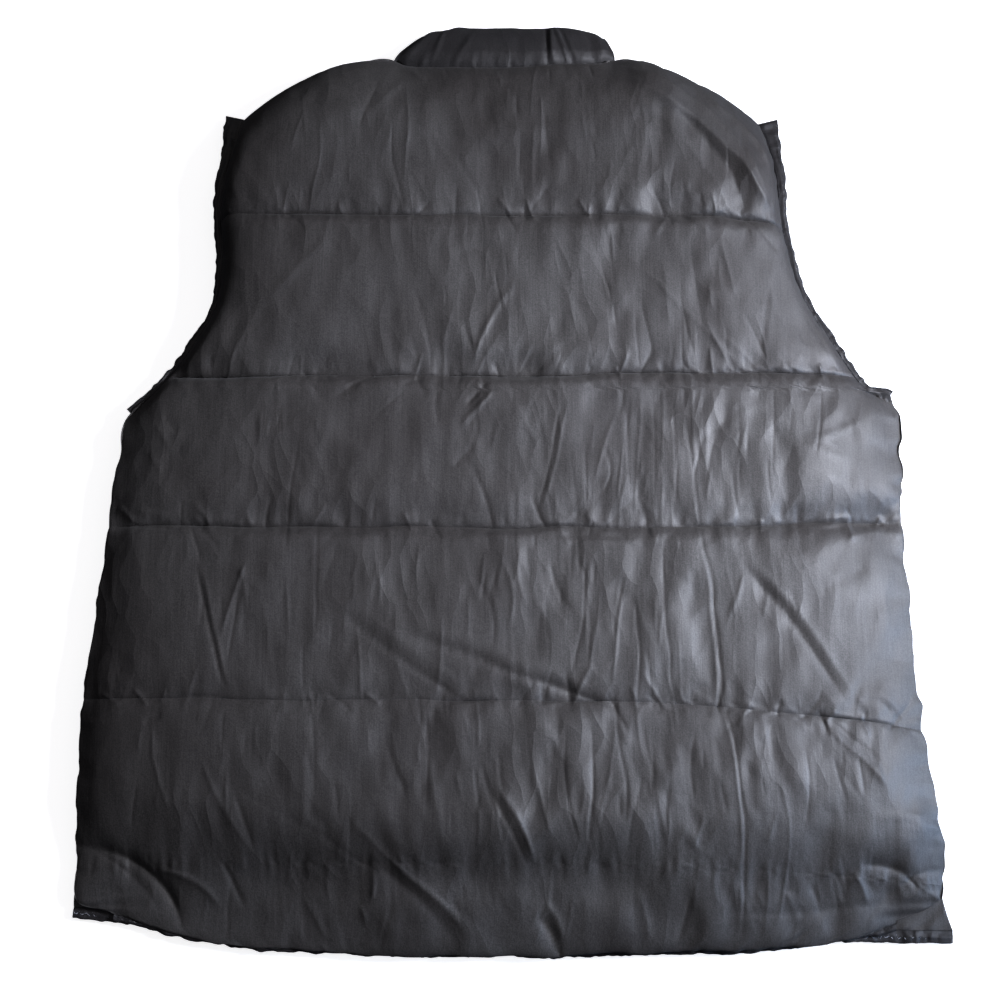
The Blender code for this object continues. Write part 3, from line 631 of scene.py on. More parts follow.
def smooth_object(name, mesh, material, sharp):
    """A mesh as an object, shaded smooth but for its edges over sharp degrees."""
    mesh.materials.append(material)
    mesh.shade_smooth()
    mesh.set_sharp_from_angle(angle=math.radians(sharp))
    made = bpy.data.objects.new(name, mesh)
    bpy.context.scene.collection.objects.link(made)
    return made


def finish(name, vertices, faces, material, sharp=50):
    """An object of vertices, in metres, and faces."""
    data = bpy.data.meshes.new(name)
    data.from_pydata([tuple(v) for v in vertices], [], [tuple(f) for f in faces])
    data.update()
    return smooth_object(name, data, material, sharp)


def skin(name, sections, material, sharp=50):
    """A closed form through sections of the same number of points, capped at both ends."""
    sections = np.asarray(sections, float)
    count, around = sections.shape[:2]
    ring = np.arange(count * around).reshape(count, around)
    after = np.roll(ring, -1, axis=1)
    sides = np.stack([ring[:-1], after[:-1], after[1:], ring[1:]], axis=-1).reshape(-1, 4)
    faces = [*sides.tolist(), ring[0, ::-1].tolist(), ring[-1].tolist()]
    data = bmesh.new()
    vertices = [data.verts.new(tuple(v)) for v in sections.reshape(-1, 3) * MM]
    for face in faces:
        data.faces.new([vertices[n] for n in face])
    bmesh.ops.recalc_face_normals(data, faces=data.faces)
    mesh = bpy.data.meshes.new(name)
    data.to_mesh(mesh)
    data.free()
    return smooth_object(name, mesh, material, sharp)


def net_quads(shape):
    """The numbers of a net's points, and its quads as four of them each."""
    net = np.arange(shape[0] * shape[1]).reshape(shape)
    quads = np.stack([net[:-1, :-1], net[:-1, 1:], net[1:, 1:], net[1:, :-1]], axis=-1)
    return net, quads.reshape(-1, 4)


def two_faced(name, panel, lower, upper, material):
    """A closed shell with both faces on the same net."""
    net, quads = net_quads(panel.shape)
    rim, first = border_of(panel.shape), net.size
    a, b = rim, np.roll(rim, -1)
    band = np.stack([a, a + first, b + first, b], axis=-1)
    faces = [*quads.tolist(), *(quads[:, ::-1] + first).tolist(), *band.tolist()]
    return finish(name, np.concatenate([upper, lower]) * MM, faces, material)


HIDDEN_STEPS = (14, 20)  # the hidden face keeps one point in so many, up and across


def shell(name, panel, outer, hidden, material):
    """A closed shell over a net: its outer face fine, the face that it turns to the other panels
    coarse. outer holds points of the net in space, hidden a height for each."""
    net, quads = net_quads(panel.shape)
    rim = border_of(panel.shape)
    up, across = HIDDEN_STEPS
    inside = net[up:-up:up, across:-across:across].ravel()
    flat = np.concatenate([panel.points[rim], panel.points[inside]])
    count = len(rim)
    ring = [(n, (n + 1) % count) for n in range(count)]
    made = delaunay_2d_cdt([tuple(p) for p in flat], ring, [], 1, 0.0)
    under_points = np.array([tuple(p) for p in made[0]])
    under_faces = np.array(made[2])
    assert len(under_points) == len(flat)
    heights = hidden[np.concatenate([rim, inside])]
    under = np.column_stack([under_points, heights])
    under[:count, :2] = outer[rim, :2]
    first = net.size
    a, b = rim, np.roll(rim, -1)
    c, d = first + np.arange(count), first + np.roll(np.arange(count), -1)
    band = np.stack([a, c, d, b], axis=-1)
    lower = under_faces[:, ::-1] + first
    faces = [*quads.tolist(), *band.tolist(), *lower.tolist()]
    return finish(name, np.concatenate([outer, under]) * MM, faces, material)


# ------------------------------------------------------------------ cloth over the padding

SWELL_FRAMES = 22
SWELL_CAP, SWELL_SHARE = 5.0, 0.38
SLACK = 0.022  # how much larger the cloth is cut than the padded form that it covers
SWELL_PRESSURE = 3.0
SWELL_START = 0.72  # the crown that it swells from, as a share of where it ends


def spread(known, wanted):
    """Weights (Catmull-Rom) that carry values at known places to the wanted places."""
    weights = np.zeros((len(wanted), len(known)))
    low = np.clip(np.searchsorted(known, wanted, side="right") - 1, 0, len(known) - 2)
    t = (wanted - known[low]) / (known[low + 1] - known[low])
    parts = (
        (-1, -0.5 * t + t**2 - 0.5 * t**3), (0, 1 - 2.5 * t**2 + 1.5 * t**3),
        (1, 0.5 * t + 2 * t**2 - 1.5 * t**3), (2, -0.5 * t**2 + 0.5 * t**3),
    )
    row = np.arange(len(wanted))
    for shift, part in parts:
        np.add.at(weights, (row, np.clip(low + shift, 0, len(known) - 1)), part)
    return weights


def smoothed(values, times):
    """A net's values, evened out with their neighbours' some times over."""
    for _ in range(times):
        for axis in (0, 1):
            pad = [(1, 1) if n == axis else (0, 0) for n in range(values.ndim)]
            wide = np.pad(values, pad, mode="edge")
            a, b, c = (np.take(wide, range(n, n + values.shape[axis]), axis) for n in range(3))
            values = (a + 2 * b + c) / 4
    return values


def swell(panel, places, held):
    """Blender's cloth, blown up from below and held at its seams: where each point ends up."""
    quads = net_quads(panel.shape)[1]
    data = bpy.data.meshes.new("swelling")
    data.from_pydata([tuple(v) for v in places * MM], [], quads.tolist())
    made = bpy.data.objects.new("swelling", data)
    bpy.context.scene.collection.objects.link(made)
    group = made.vertex_groups.new(name="held")
    for number in np.flatnonzero(held):
        group.add([int(number)], 1.0, "REPLACE")
    cloth = made.modifiers.new("cloth", "CLOTH")
    settings = cloth.settings
    settings.quality = 6
    settings.mass = 0.2
    settings.tension_stiffness = settings.compression_stiffness = 30
    settings.shear_stiffness = 10
    settings.bending_stiffness = 5
    settings.tension_damping = settings.compression_damping = 5
    settings.air_damping = 2
    settings.vertex_group_mass = "held"
    settings.shrink_min = settings.shrink_max = -SLACK
    settings.use_pressure = True
    settings.uniform_pressure_force = SWELL_PRESSURE
    settings.effector_weights.gravity = 0
    cloth.collision_settings.use_collision = False
    cloth.point_cache.frame_end = SWELL_FRAMES
    scene = bpy.context.scene
    for number in range(1, SWELL_FRAMES + 1):
        scene.frame_set(number)
    settled = made.evaluated_get(bpy.context.evaluated_depsgraph_get())
    found = np.empty(len(places) * 3, dtype=np.float32)
    settled.data.vertices.foreach_get("co", found)
    scene.frame_set(1)
    bpy.data.objects.remove(made)
    bpy.data.meshes.remove(data)
    return found.reshape(-1, 3).astype(float) / MM


# ------------------------------------------------------------------ the back

BACK_LINES = (BACK_HEM, *QUILTING)
FRONT_LINES = (FRONT_HEM, *QUILTING)
BACK_LEFT = BACK_SIDE_LEFT + BACK_ARMHOLE_LEFT[1:]
BACK_RIGHT = BACK_SIDE_RIGHT + BACK_ARMHOLE_RIGHT[1:]


def full_at(away, table):
    """How full the padding is at some distance from an edge, on a smooth curve through a table."""
    curve = through(plan(table), 8)
    return np.interp(away, curve[:, 0], np.clip(curve[:, 1], 0, 1))


def back_form(panel, fine):
    """The places of the back's outer face, and of the face that lies on the fronts."""
    points = panel.points
    x, y = points.T
    edges = {
        "left": through(plan(BACK_SIDE_LEFT), 2),
        "right": through(plan(BACK_SIDE_RIGHT), 2),
        "armhole left": through(plan(BACK_ARMHOLE_LEFT), 2),
        "armhole right": through(plan(BACK_ARMHOLE_RIGHT), 2),
        "shoulder left": through(SHOULDERS[0], 3),
        "shoulder right": through(SHOULDERS[1], 3),
        "neck": through(plan(BACK_NECK), 3),
        "hem": outline_of(BACK_HEM, BACK_SIDE_LEFT[0].x, BACK_SIDE_RIGHT[0].x),
    }
    away = {name: distance(points, line) for name, line in edges.items()}
    hem_roll = ROLL_HEM * (1 - 0.45 * eased((x - 60) / 150) + 0.7 * eased((-x - 90) / 120))
    share = (
        full_at(away["left"], SIDE_FULL)
        * full_at(away["right"], SIDE_FULL)
        * full_at(away["armhole left"], ARMHOLE_FULL)
        * full_at(away["armhole right"], ARMHOLE_FULL)
        * rounded(away["shoulder left"], ROLL_SHOULDER)
        * rounded(away["shoulder right"], ROLL_SHOULDER)
        * full_at(away["neck"], NECK_FULL)
        * rounded(away["hem"], hem_roll)
    )
    edge = np.min(list(away.values()), axis=0)
    low = bed(points) + clearance(points)
    crown = CROWN_BACK + BED_DROP_SIDE * (1 - eased(nearest(points, BODY_SIDES) / BED_REACH_SIDE))
    loose = eased(share / 0.36)  # where the cloth is free of its edges
    off = y - line_y(QUILTING[2], x)
    fold = np.exp(-(((off - 1) / np.where(off > 0, *DEEP_FOLD_REACH)) ** 2))
    relief = -valleys(points) - DEEP_FOLD * fold * eased((x - 130) / 110)
    if not fine:
        relief += 0.5 * ripple(x / 22, y / 60, 13) + 0.2 * ripple(x / 8, y / 25, 14)
        height = SWELL_START * share * crown + loose * relief
        return np.column_stack([x, y, low + SHELL_EDGE + height]), low
    # uneven filling
    lively = 0.8 + 0.25 * np.clip(x / 200, -1, 1)
    relief += 1.7 * ripple(x / 85, y / 70, 11) + 1.6 * lively * ripple(x / 38, y / 34, 12)
    relief += 0.85 * lively * ripple(x / 16, y / 26, 15)
    # puckers that the quilting draws into the cloth
    lap = np.zeros(len(points))
    for number, line in enumerate(QUILTING):
        off = y - line_y(line, x)
        near = np.abs(off)
        held = 1 - (number > 0) * np.exp(-near / 1.8)
        along_x = x + 0.15 * off * ripple(x / 60, y * 0, 40 + number)
        relief += line.dip / 9 * held * (
            0.6 * np.exp(-near / 7) * ripple(along_x / 4, off / 30, 50 + number)
            + 0.8 * np.exp(-near / 12) * ripple(along_x / 9, off / 45, 60 + number)
            + 1.0 * np.exp(-near / 40) * ripple(along_x / 30, off / 60, 70 + number)
        )
        uneven = 0.6 + 0.8 * ripple(x / 40, y * 0, 80 + number)
        lap += line.lap * np.exp(-(((off - 4) / 5) ** 2)) * uneven
        lap += (number > 0) * 1.3 * np.exp(-near / 12) * ripple(x / 38, y * 0, 120 + number)
    # fine upright crinkles, in patches
    patch = np.clip(0.45 + 0.7 * ripple(x / 55, y / 60, 31), 0, 1)
    relief += patch * (0.06 * ripple(x / 3.4, y / 30, 32) + 0.16 * ripple(x / 9, y / 40, 33))
    # creases, over cloth that isn't quite straight
    bent = points + 1.5 * np.column_stack([ripple(x / 30, y / 30, 21), ripple(x / 30, y / 30, 22)])
    fade = np.clip(edge / 6, 0, 1)
    wrinkled = crease_height(bent, (*BACK_CREASES, *hairlines(5), *row_tucks(6)))
    side = np.minimum(away["left"], away["right"])
    tucks = np.exp(-side / 11) * (1 - np.exp(-side / 2))
    puckered = tucks * (0.8 * ripple(y / 4.5, side / 40, 95) + 0.8 * ripple(y / 10, side / 40, 96))
    height = np.maximum(share * crown + loose * relief + puckered, 0)
    z = low + SHELL_EDGE + height + fade * wrinkled
    # the edges bulge between the rows, and pucker
    row = np.min([np.abs(y - line_y(line, x)) for line in QUILTING], axis=0)
    wave = (2.3 + 0.9 * np.sign(x)) * ripple(y / 14, x / 200, 91) + 0.7 * ripple(y / 6, x / 200, 92)
    push = np.maximum(1.4 + wave - 1.2 * np.exp(-row / 6), 0.2) * np.exp(-side / 9)
    hem = away["hem"]
    hem_wave = 1.0 * ripple(x / 30, y / 200, 93) + 0.4 * ripple(x / 9, y / 200, 94)
    over = HEM_OVER * (1 - np.exp(-hem / 1.2)) * np.exp(-((hem / HEM_OVER_REACH) ** 2))
    over *= (0.85 + 0.25 * ripple(x / 24, y * 0, 97)) * eased(side / 25)
    drop = hem_wave * np.exp(-hem / 9) + over
    corner = np.exp(-((np.hypot(x + 312, y + 318) / 16) ** 2))
    return np.column_stack([x + push * np.sign(x) - 6 * corner, y - lap - drop - 6 * corner, z]), low


BACK_ROWS, BACK_COLUMNS = (32, 54, 54, 54, 54, 56), 690
SWELL_ROWS, SWELL_COLUMNS = (12, 30, 30, 30, 30, 32), 150
# The net of the back is so fine that it is made in three lengths, which meet in rows of quilting
BACK_LENGTHS = (("lower", 0, 2), ("middle", 2, 4), ("upper", 4, 6))


def swollen(panel):
    """What the simulation adds to the back's form: its buckles, without its overall growth."""
    loose = panel_grid(BACK_LINES, top_of_back, BACK_LEFT, BACK_RIGHT, SWELL_ROWS, SWELL_COLUMNS)
    start = back_form(loose, False)[0]
    held = np.isclose(loose.level, np.round(loose.level))
    held[border_of(loose.shape)] = True
    moved = (swell(loose, start, held) - start).reshape(*loose.shape, 3)
    moved -= moved.mean(axis=1, keepdims=True)
    moved -= smoothed(moved, 12)
    size = np.linalg.norm(moved, axis=2)[:, :, None]
    moved *= np.minimum(1, SWELL_CAP / np.maximum(size, 1e-6))
    places = loose.points / 70
    calm = 0.55 + 0.45 * np.clip(loose.points[:, 0] / 250, -1, 1) + 0.5 * ripple(*places.T, 16)
    moved *= SWELL_SHARE * np.clip(calm, 0.25, 1.2).reshape(*loose.shape, 1)
    moved.reshape(-1, 3)[border_of(loose.shape)] = 0
    rows = spread(loose.level.reshape(loose.shape)[:, 0], panel.level.reshape(panel.shape)[:, 0])
    columns = spread(crowded(SWELL_COLUMNS, 2.5, 0.04), crowded(BACK_COLUMNS, 2.5, 0.04))
    return np.einsum("ra,abk,cb->rck", rows, moved, columns, optimize=True).reshape(-1, 3)


def back_shells(material):
    """The three lengths, the net of the whole back, and the rows of it that quilting runs along."""
    panel = panel_grid(BACK_LINES, top_of_back, BACK_LEFT, BACK_RIGHT, BACK_ROWS, BACK_COLUMNS)
    outer, low = back_form(panel, True)
    outer += swollen(panel)
    passed = np.concatenate([[0], np.cumsum(BACK_ROWS)])
    rows, columns = panel.shape
    made = []
    for name, first, last in BACK_LENGTHS:
        part = slice(passed[first] * columns, (passed[last] + 1) * columns)
        shape = (passed[last] - passed[first] + 1, columns)
        length = Panel(panel.points[part], panel.level[part], shape)
        made.append(shell("back_shell_" + name, length, outer[part], low[part], material))
    return made, outer.reshape(rows, columns, 3), passed[2:-1]


# ------------------------------------------------------------------ the fronts

FRONT_ROWS, FRONT_COLUMNS = (16, 32, 32, 32, 32, 32), 150


def front_shell(side, material):
    """A front lies face down: its quilted outer face below, pressed flat where it rests."""
    left, right = (FRONT_LEFT, -FRONT_EDGE_X) if side == "left" else (FRONT_EDGE_X, FRONT_RIGHT)
    panel = panel_grid(FRONT_LINES, top_of_front, left, right, FRONT_ROWS, FRONT_COLUMNS)
    points = panel.points
    x, y = points.T
    net = points.reshape(*panel.shape, 2)
    outer, inner = (net[:, 0], net[:, -1]) if side == "left" else (net[:, -1], net[:, 0])
    top = net[-1]
    in_neck = (top[:, 0] >= NECK_LEFT) & (top[:, 0] <= NECK_RIGHT)
    thin = slice(None, None, 4)
    share = (
        rounded(distance(points, outer[thin]), ROLL_SIDE)
        * rounded(distance(points, inner[[0, -1]]), ROLL_FRONT_EDGE)
        * rounded(distance(points, top[~in_neck]), ROLL_SHOULDER)
        * rounded(distance(points, top[in_neck]), ROLL_NECK)
        * rounded(distance(points, net[0][thin]), ROLL_HEM)
    )
    over = bed(points) - clearance(points)
    row = np.min([np.abs(y - line_y(line, x)) for line in QUILTING], axis=0)
    groove = GROOVE_FRONT * (1 - rounded(row, GROOVE_HALF)) * (0.9 + 0.25 * ripple(x / 17, y / 30, 131))
    pucker = 0.9 * np.exp(-row / 18) * ripple(x / 9, y / 40, 132) + 0.7 * ripple(x / 30, y / 26, 133)
    creases = [c._replace(wide=2.2 * c.wide, high=1.6 * c.high) for c in (*hairlines(9), *row_tucks(8))]
    worn = crease_height(points, creases) * np.clip(row / 3, 0.3, 1)
    under = (over - SHELL_EDGE) * (1 - share) + (groove + pucker + np.abs(worn)) * share
    under = np.clip(under, 0, over - SHELL_EDGE)
    # the corner that shows past the back is puckered by its binding and its side seam
    edge = nearest(points, (outer[thin], net[0][thin]))
    corner = (np.abs(x) > 240) & (y < -290)
    lift = np.exp(-edge / 9) * (1 - np.exp(-edge / 1.5)) * corner
    over = over + lift * (0.5 + 1.0 * ripple((x - y) / 5, edge / 20, 134))
    lower = np.column_stack([x, y, under])
    made = two_faced("front_shell_" + side, panel, lower, np.column_stack([x, y, over]), material)
    sewn = lower.reshape(*panel.shape, 3)[np.cumsum(FRONT_ROWS)[:-1]]
    return made, net, sewn



# ------------------------------------------------------------------ bindings

BINDING_THICK = 2.2
ARMHOLE_BINDING = ((0.0, 4.5), (0.7, 6.0), (0.88, 9.0), (1.0, 15.0))  # share of its run, width
ARMHOLE_BINDING_START = 4.0
HEM_BINDING_BACK, HEM_BINDING_FRONT = 5.0, 9.0
STRIP_STEP, STRIP_TUCK = 1.2, 0.8  # along a strip; how far it is tucked under the panel's edge


def evenly(line, step):
    """A line's points again, a step apart."""
    run = np.concatenate([[0], np.cumsum(np.linalg.norm(np.diff(line, axis=0), axis=1))])
    wanted = np.linspace(0, run[-1], max(2, round(run[-1] / step)) + 1)
    return np.column_stack([np.interp(wanted, run, column) for column in line.T]), wanted


def outward(points):
    """The way out from a line in plan, square to it, at each of its points."""
    run = np.gradient(points, axis=0)
    normal = np.column_stack([run[:, 1], -run[:, 0]])
    normal /= np.linalg.norm(normal, axis=1)[:, None]
    return normal * np.sign((points * normal).sum(axis=1).sum())


def strip(line, run, wide, above, folds, gather, seed):
    """Sections of a gathered strip just outside a panel's edge, above the bed or below it: folds
    is the height of the pleats that run along it, gather of those that run across."""
    normal = outward(line)
    wide = np.broadcast_to(wide, len(line))
    base = bed(line) + (clearance(line) if above else -clearance(line) - BINDING_THICK)
    share = np.concatenate([np.linspace(0, 1, 9), np.linspace(1, 0, 5)])
    top = np.arange(14) < 9
    sections = np.empty((len(line), 14, 3))
    for n, (part, upper) in enumerate(zip(share, top)):
        across = part * (wide + STRIP_TUCK)
        wobble = part * (
            0.7 * ripple(run / 7, run * 0, seed) + 0.4 * ripple(run / 3.1, run * 0, seed + 1)
        )
        sections[:, n, :2] = line + normal * (across + wobble - STRIP_TUCK)[:, None]
        if upper:
            dome = 1 - 0.6 * abs(2 * part - 1) ** 3
            pleats = folds * np.cos(
                across * 2 * math.pi / 4.5 + 1.2 * ripple(run / 25, run * 0, seed + 2)
            )
            ruffle = gather * ripple(run / 2.6, across / 7, seed + 3)
            ruffle += gather * ripple(run / 6, across / 9, seed + 4)
            rise = np.maximum(0.5, BINDING_THICK * dome + (pleats + ruffle) * min(1, 6 * part))
            sections[:, n, 2] = base + rise
        else:
            sections[:, n, 2] = base
    return sections


def armhole_binding(side, edge, folds, gather, material):
    """Up the back's armhole, over the shoulder tip and down the front's."""
    underarm = (BACK_SIDE_LEFT if side == "left" else BACK_SIDE_RIGHT)[-1].y
    line, run = evenly(edge[edge[:, 1] > underarm + ARMHOLE_BINDING_START], STRIP_STEP)
    wide = np.interp(run / run[-1], *zip(*ARMHOLE_BINDING))
    up = strip(line, run, wide, True, folds, gather, 200)
    down = strip(line, run, wide, False, 0.0, 0.3 * gather, 210)[::-1]
    # loops of the lower strip run the other way round, so that the strip turns over at the tip
    lower = np.stack([down[:, n] for n in (13, 13, 12, 12, 11, 11, 10, 10, 9, 8, 6, 4, 2, 0)], axis=1)
    tip = (up[-1] + lower[0]) / 2
    tip[:, 1] += SEAM_GAP + BINDING_THICK * np.concatenate([np.full(9, 1.0), np.zeros(5)])
    tip[:, 2] = bed(line[-1:])[0]
    return skin("armhole_binding_shell_" + side, [*up, tip, *lower], material), up


# ------------------------------------------------------------------ collar

COLLAR_TOP_LEFT, COLLAR_TOP_RIGHT = 0.74, 0.9
COLLAR_BACK_Y, COLLAR_BACK_DROP = 365.5, 14.0
COLLAR_FOLD_Y, COLLAR_FOLD_DROP = 362.0, 19.0
COLLAR_FRONT_Y, COLLAR_FRONT_DROP = 297.0, 3.0
COLLAR_UNDER, COLLAR_SEAM_GAP = 1.0, 0.15
COLLAR_TOP_POWER, COLLAR_LEAN_POWER = 2.4, 1.6
COLLAR_WALL = ((0.0, SHELL_EDGE), (0.1, 6.0), (0.26, 8.5), (0.75, 8.0), (0.94, 6.5), (1.0, 5.0))
COLLAR_SHARES = np.concatenate([1 - np.cos(np.linspace(0, math.pi, 27))]) / 2


def collar_section(seam, top, under, out, swollen, full=1.0):
    """A loop from the neck seam to the top edge and back, thickened on its outer face."""
    share = COLLAR_SHARES[:, None]
    thick = full * np.interp(COLLAR_SHARES, *zip(*COLLAR_WALL))
    flat = seam + (top - seam) * share
    height = bed(flat)[:, None] + under[0] + (under[1] - under[0]) * share**COLLAR_LEAN_POWER
    inner = np.hstack([flat, height])
    outer = inner + (thick + swollen)[:, None] * np.array(out) / np.linalg.norm(out)
    loop = np.concatenate([inner, outer[::-1]])
    loop[:, 2] = np.maximum(loop[:, 2], 0)
    return loop


def collar_top_share(x):
    """How far out the collar's top is, as a share of how far out its seam is, on the side of x."""
    return COLLAR_TOP_LEFT if x < 0 else COLLAR_TOP_RIGHT


COLLAR_FOLDS = (  # x at the seam, x at the top, width, height
    (29, 32, 1.6, -1.5), (33, 36, 2.0, 1.3), (46, 39, 1.8, 1.4), (50, 43, 1.8, -1.2),
    (-62, -70, 3, 0.9), (-44, -36, 4, 0.8), (-12, -20, 6, 0.6), (4, 10, 6, -0.6), (66, 68, 4, -0.8),
)


def collar_swell(x):
    """The collar's padding at one place along its back: shallow folds, puckered at the seam."""
    share = COLLAR_SHARES
    added = 1.0 * np.exp(-share / 0.16) * ripple(np.full_like(share, x / 4.5), share * 2, 171)
    added += 0.7 * np.exp(-share / 0.4) * ripple(np.full_like(share, x / 10), share * 2, 172)
    added += 0.4 * ripple(np.full_like(share, x / 26), share * 1.5, 173)
    fading = np.sin(np.pi * np.clip(share, 0, 1)) ** 0.5
    for low, high, wide, height in COLLAR_FOLDS:
        middle = low + (high - low) * share
        added += height * np.exp(-(((x - middle) / wide) ** 2)) * fading
    return np.clip(share / 0.06, 0, 1) * np.clip((1 - share) / 0.05, 0, 1) * added


def collar_shell(back_net, front_nets, material):
    """One wall round the neck: its back stretch faces up, and its front stretches face down."""
    shift = np.array([0.0, COLLAR_SEAM_GAP])
    sections = []
    for side in ("left", "right"):
        corner = NECK_LEFT if side == "left" else NECK_RIGHT
        line = front_nets[side][-1]
        line = line[(line[:, 0] >= NECK_LEFT) & (line[:, 0] <= NECK_RIGHT)]
        line = evenly(line, 2.5)[0]
        stretch = []
        for x, y in line:
            share = max(0.0, (abs(x) - FRONT_EDGE_X) / (abs(corner) - FRONT_EDGE_X))
            top_x = x * (1 - (1 - collar_top_share(x)) * eased(2 * share))
            top_y = COLLAR_FRONT_Y + (COLLAR_FOLD_Y - COLLAR_FRONT_Y) * share**COLLAR_TOP_POWER
            end = -COLLAR_FRONT_DROP - (COLLAR_FOLD_DROP - COLLAR_FRONT_DROP) * eased(2 * share - 1)
            top = np.array([top_x, top_y])
            puff = -np.abs(0.6 * collar_swell(x))
            stretch.append(collar_section((x, y) + shift, top, (-COLLAR_UNDER, end), (0, 0, -1), puff))
        sections.append(stretch if side == "right" else stretch[::-1])
    left, right = sections
    line = back_net[-1]
    line = line[(line[:, 0] >= NECK_LEFT - 0.5) & (line[:, 0] <= NECK_RIGHT + 0.5)]
    across = []
    for x, y in evenly(line, 1.1)[0]:
        share = abs(x / (NECK_LEFT if x < 0 else NECK_RIGHT))
        near = eased((share - 0.6) / 0.4)
        top_y = COLLAR_BACK_Y + (COLLAR_FOLD_Y - COLLAR_BACK_Y) * near + 0.8 * ripple(x / 14, 0.0, 175)
        top = np.array([x * collar_top_share(x), top_y])
        end = -COLLAR_BACK_DROP - (COLLAR_FOLD_DROP - 5 - COLLAR_BACK_DROP) * near
        turn = eased((share - 0.9) / 0.1)
        out = (math.copysign(0.5, x) * turn, 0.3, 0.94)
        swollen = collar_swell(x) * (1 - turn)
        section = collar_section((x, y) + shift, top, (SEAM_GAP, end), out, swollen, 1 - 0.6 * turn)
        across.append(section)
    return skin("collar_shell", [*left, *across, *right[::-1]], material)


# ------------------------------------------------------------------ thread

STITCH, STITCH_GAP, THREAD = 2.7, 0.8, 0.45  # long, between two, half its width


PATH_STEP = 0.5
STITCH_SHAPE = (  # along the stitch, its thickness there, and how far that is lifted
    (-0.5, 0.25, -0.5), (-0.32, 0.9, 0.0), (0.0, 1.0, 0.1), (0.32, 0.9, 0.0), (0.5, 0.25, -0.5),
)


def stitches(name, paths, material, long=STITCH, gap=STITCH_GAP, thick=THREAD):
    """Lockstitches along paths in space: small bars that dip into the cloth at both ends."""
    turn = np.linspace(0, 2 * math.pi, 6, endpoint=False)
    vertices, faces = [], []
    for path in paths:
        line, run = evenly(np.asarray(path, float), PATH_STEP)
        count = int(run[-1] / (long + gap))
        for number in range(count):
            middle = (number + 0.5) * (long + gap)
            a, b = (
                np.array([np.interp(middle + end, run, column) for column in line.T])
                for end in (-long / 2, long / 2)
            )
            way = (b - a) / np.linalg.norm(b - a)
            side = np.cross((0.0, 0.0, 1.0), way)
            side /= np.linalg.norm(side)
            up = np.cross(way, side)
            first = len(vertices)
            for place, size, lift in STITCH_SHAPE:
                centre = (a + b) / 2 + way * place * long + up * lift * thick
                for angle in turn:
                    spoke = side * math.cos(angle) + 0.8 * up * math.sin(angle)
                    vertices.append(centre + size * thick * spoke)
            for ring in range(4):
                for n in range(6):
                    m = (n + 1) % 6
                    low = first + ring * 6
                    faces.append((low + n, low + m, low + 6 + m, low + 6 + n))
            faces.append([first + n for n in range(5, -1, -1)])
            faces.append([first + 24 + n for n in range(6)])
    return finish(name, np.array(vertices) * MM, faces, material, sharp=80)


# ------------------------------------------------------------------ zip

CHAIN_THICK, TAPE_THICK, ZIP_DROP = 2.4, 1.0, 3.0
CHAIN_HALF, TAPE_TOP, TAPE_LOW, TAPE_STEP = 3.0, 295.0, -352.0, 4.0
SLIDER_Y = 282.0
TOOTH_PITCH = 2.6
WORN_EDGE = 0.3  # how far the slider's and the pull's edges are rounded


def zip_line(y):
    """How high the zip lies at y."""
    return bed(np.column_stack([np.zeros_like(y), y])) - ZIP_DROP


def zip_tape(side, material):
    """A woven tape with a thicker corded edge next to the teeth."""
    ys = np.arange(TAPE_LOW, TAPE_TOP + 0.1, TAPE_STEP)
    sign = -1 if side == "left" else 1
    across = np.array([0.0, 0.25, 0.6, 1.2, 2.0, 4.0, 5.6, 6.0])
    half = np.array([0.3, 0.5, 0.5, 0.36, 0.33, 0.33, 0.33, 0.2]) * TAPE_THICK
    sections = []
    for y, z in zip(ys, zip_line(ys)):
        x = sign * (CHAIN_HALF + SEAM_GAP + across)
        upper = np.column_stack([x, np.full_like(x, y), z + half])
        lower = np.column_stack([x, np.full_like(x, y), z - half])
        sections.append(np.concatenate([upper, lower[::-1]]))
    return skin("zip_tape_shell_" + side, sections, material, sharp=35)


def zip_teeth(material):
    """Two rows of moulded teeth that mesh, each with a head that reaches past the middle."""
    outline = np.array([  # across from the middle, along
        (3.0, -0.75), (1.3, -0.75), (0.9, -0.5), (0.2, -0.62), (-0.9, -0.55), (-1.15, 0.0),
        (-0.9, 0.55), (0.2, 0.62), (0.9, 0.5), (1.3, 0.75), (3.0, 0.75),
    ])
    count = len(outline)
    vertices, faces = [], []
    ys = np.arange(TAPE_LOW + 3, SLIDER_Y - 1, TOOTH_PITCH / 2)
    for number, (y, z) in enumerate(zip(ys, zip_line(ys))):
        sign = 1 if number % 2 else -1
        first = len(vertices)
        for size, high in ((0.86, -0.5), (1.0, -0.36), (1.0, 0.36), (0.86, 0.5)):
            centre = outline.mean(axis=0)
            for across, along_y in centre + (outline - centre) * size:
                vertices.append((sign * across, y + along_y * 0.86, z + high * CHAIN_THICK))
        for ring in range(3):
            for n in range(count):
                m = (n + 1) % count
                low = first + ring * count
                face = (low + n, low + m, low + count + m, low + count + n)
                faces.append(face if sign > 0 else face[::-1])
        cap = [first + n for n in range(count)]
        top = [first + 3 * count + n for n in range(count)]
        faces.append(cap[::-1] if sign > 0 else cap)
        faces.append(top if sign > 0 else top[::-1])
    return finish("zip_teeth", np.array(vertices) * MM, faces, material, sharp=35)


# ------------------------------------------------------------------ finishes


def hex_colour(code):
    """An sRGB hex value as linear light."""
    parts = [int(code[i : i + 2], 16) / 255 for i in (1, 3, 5)]
    return tuple(c / 12.92 if c <= 0.04045 else ((c + 0.055) / 1.055) ** 2.4 for c in parts) + (1,)


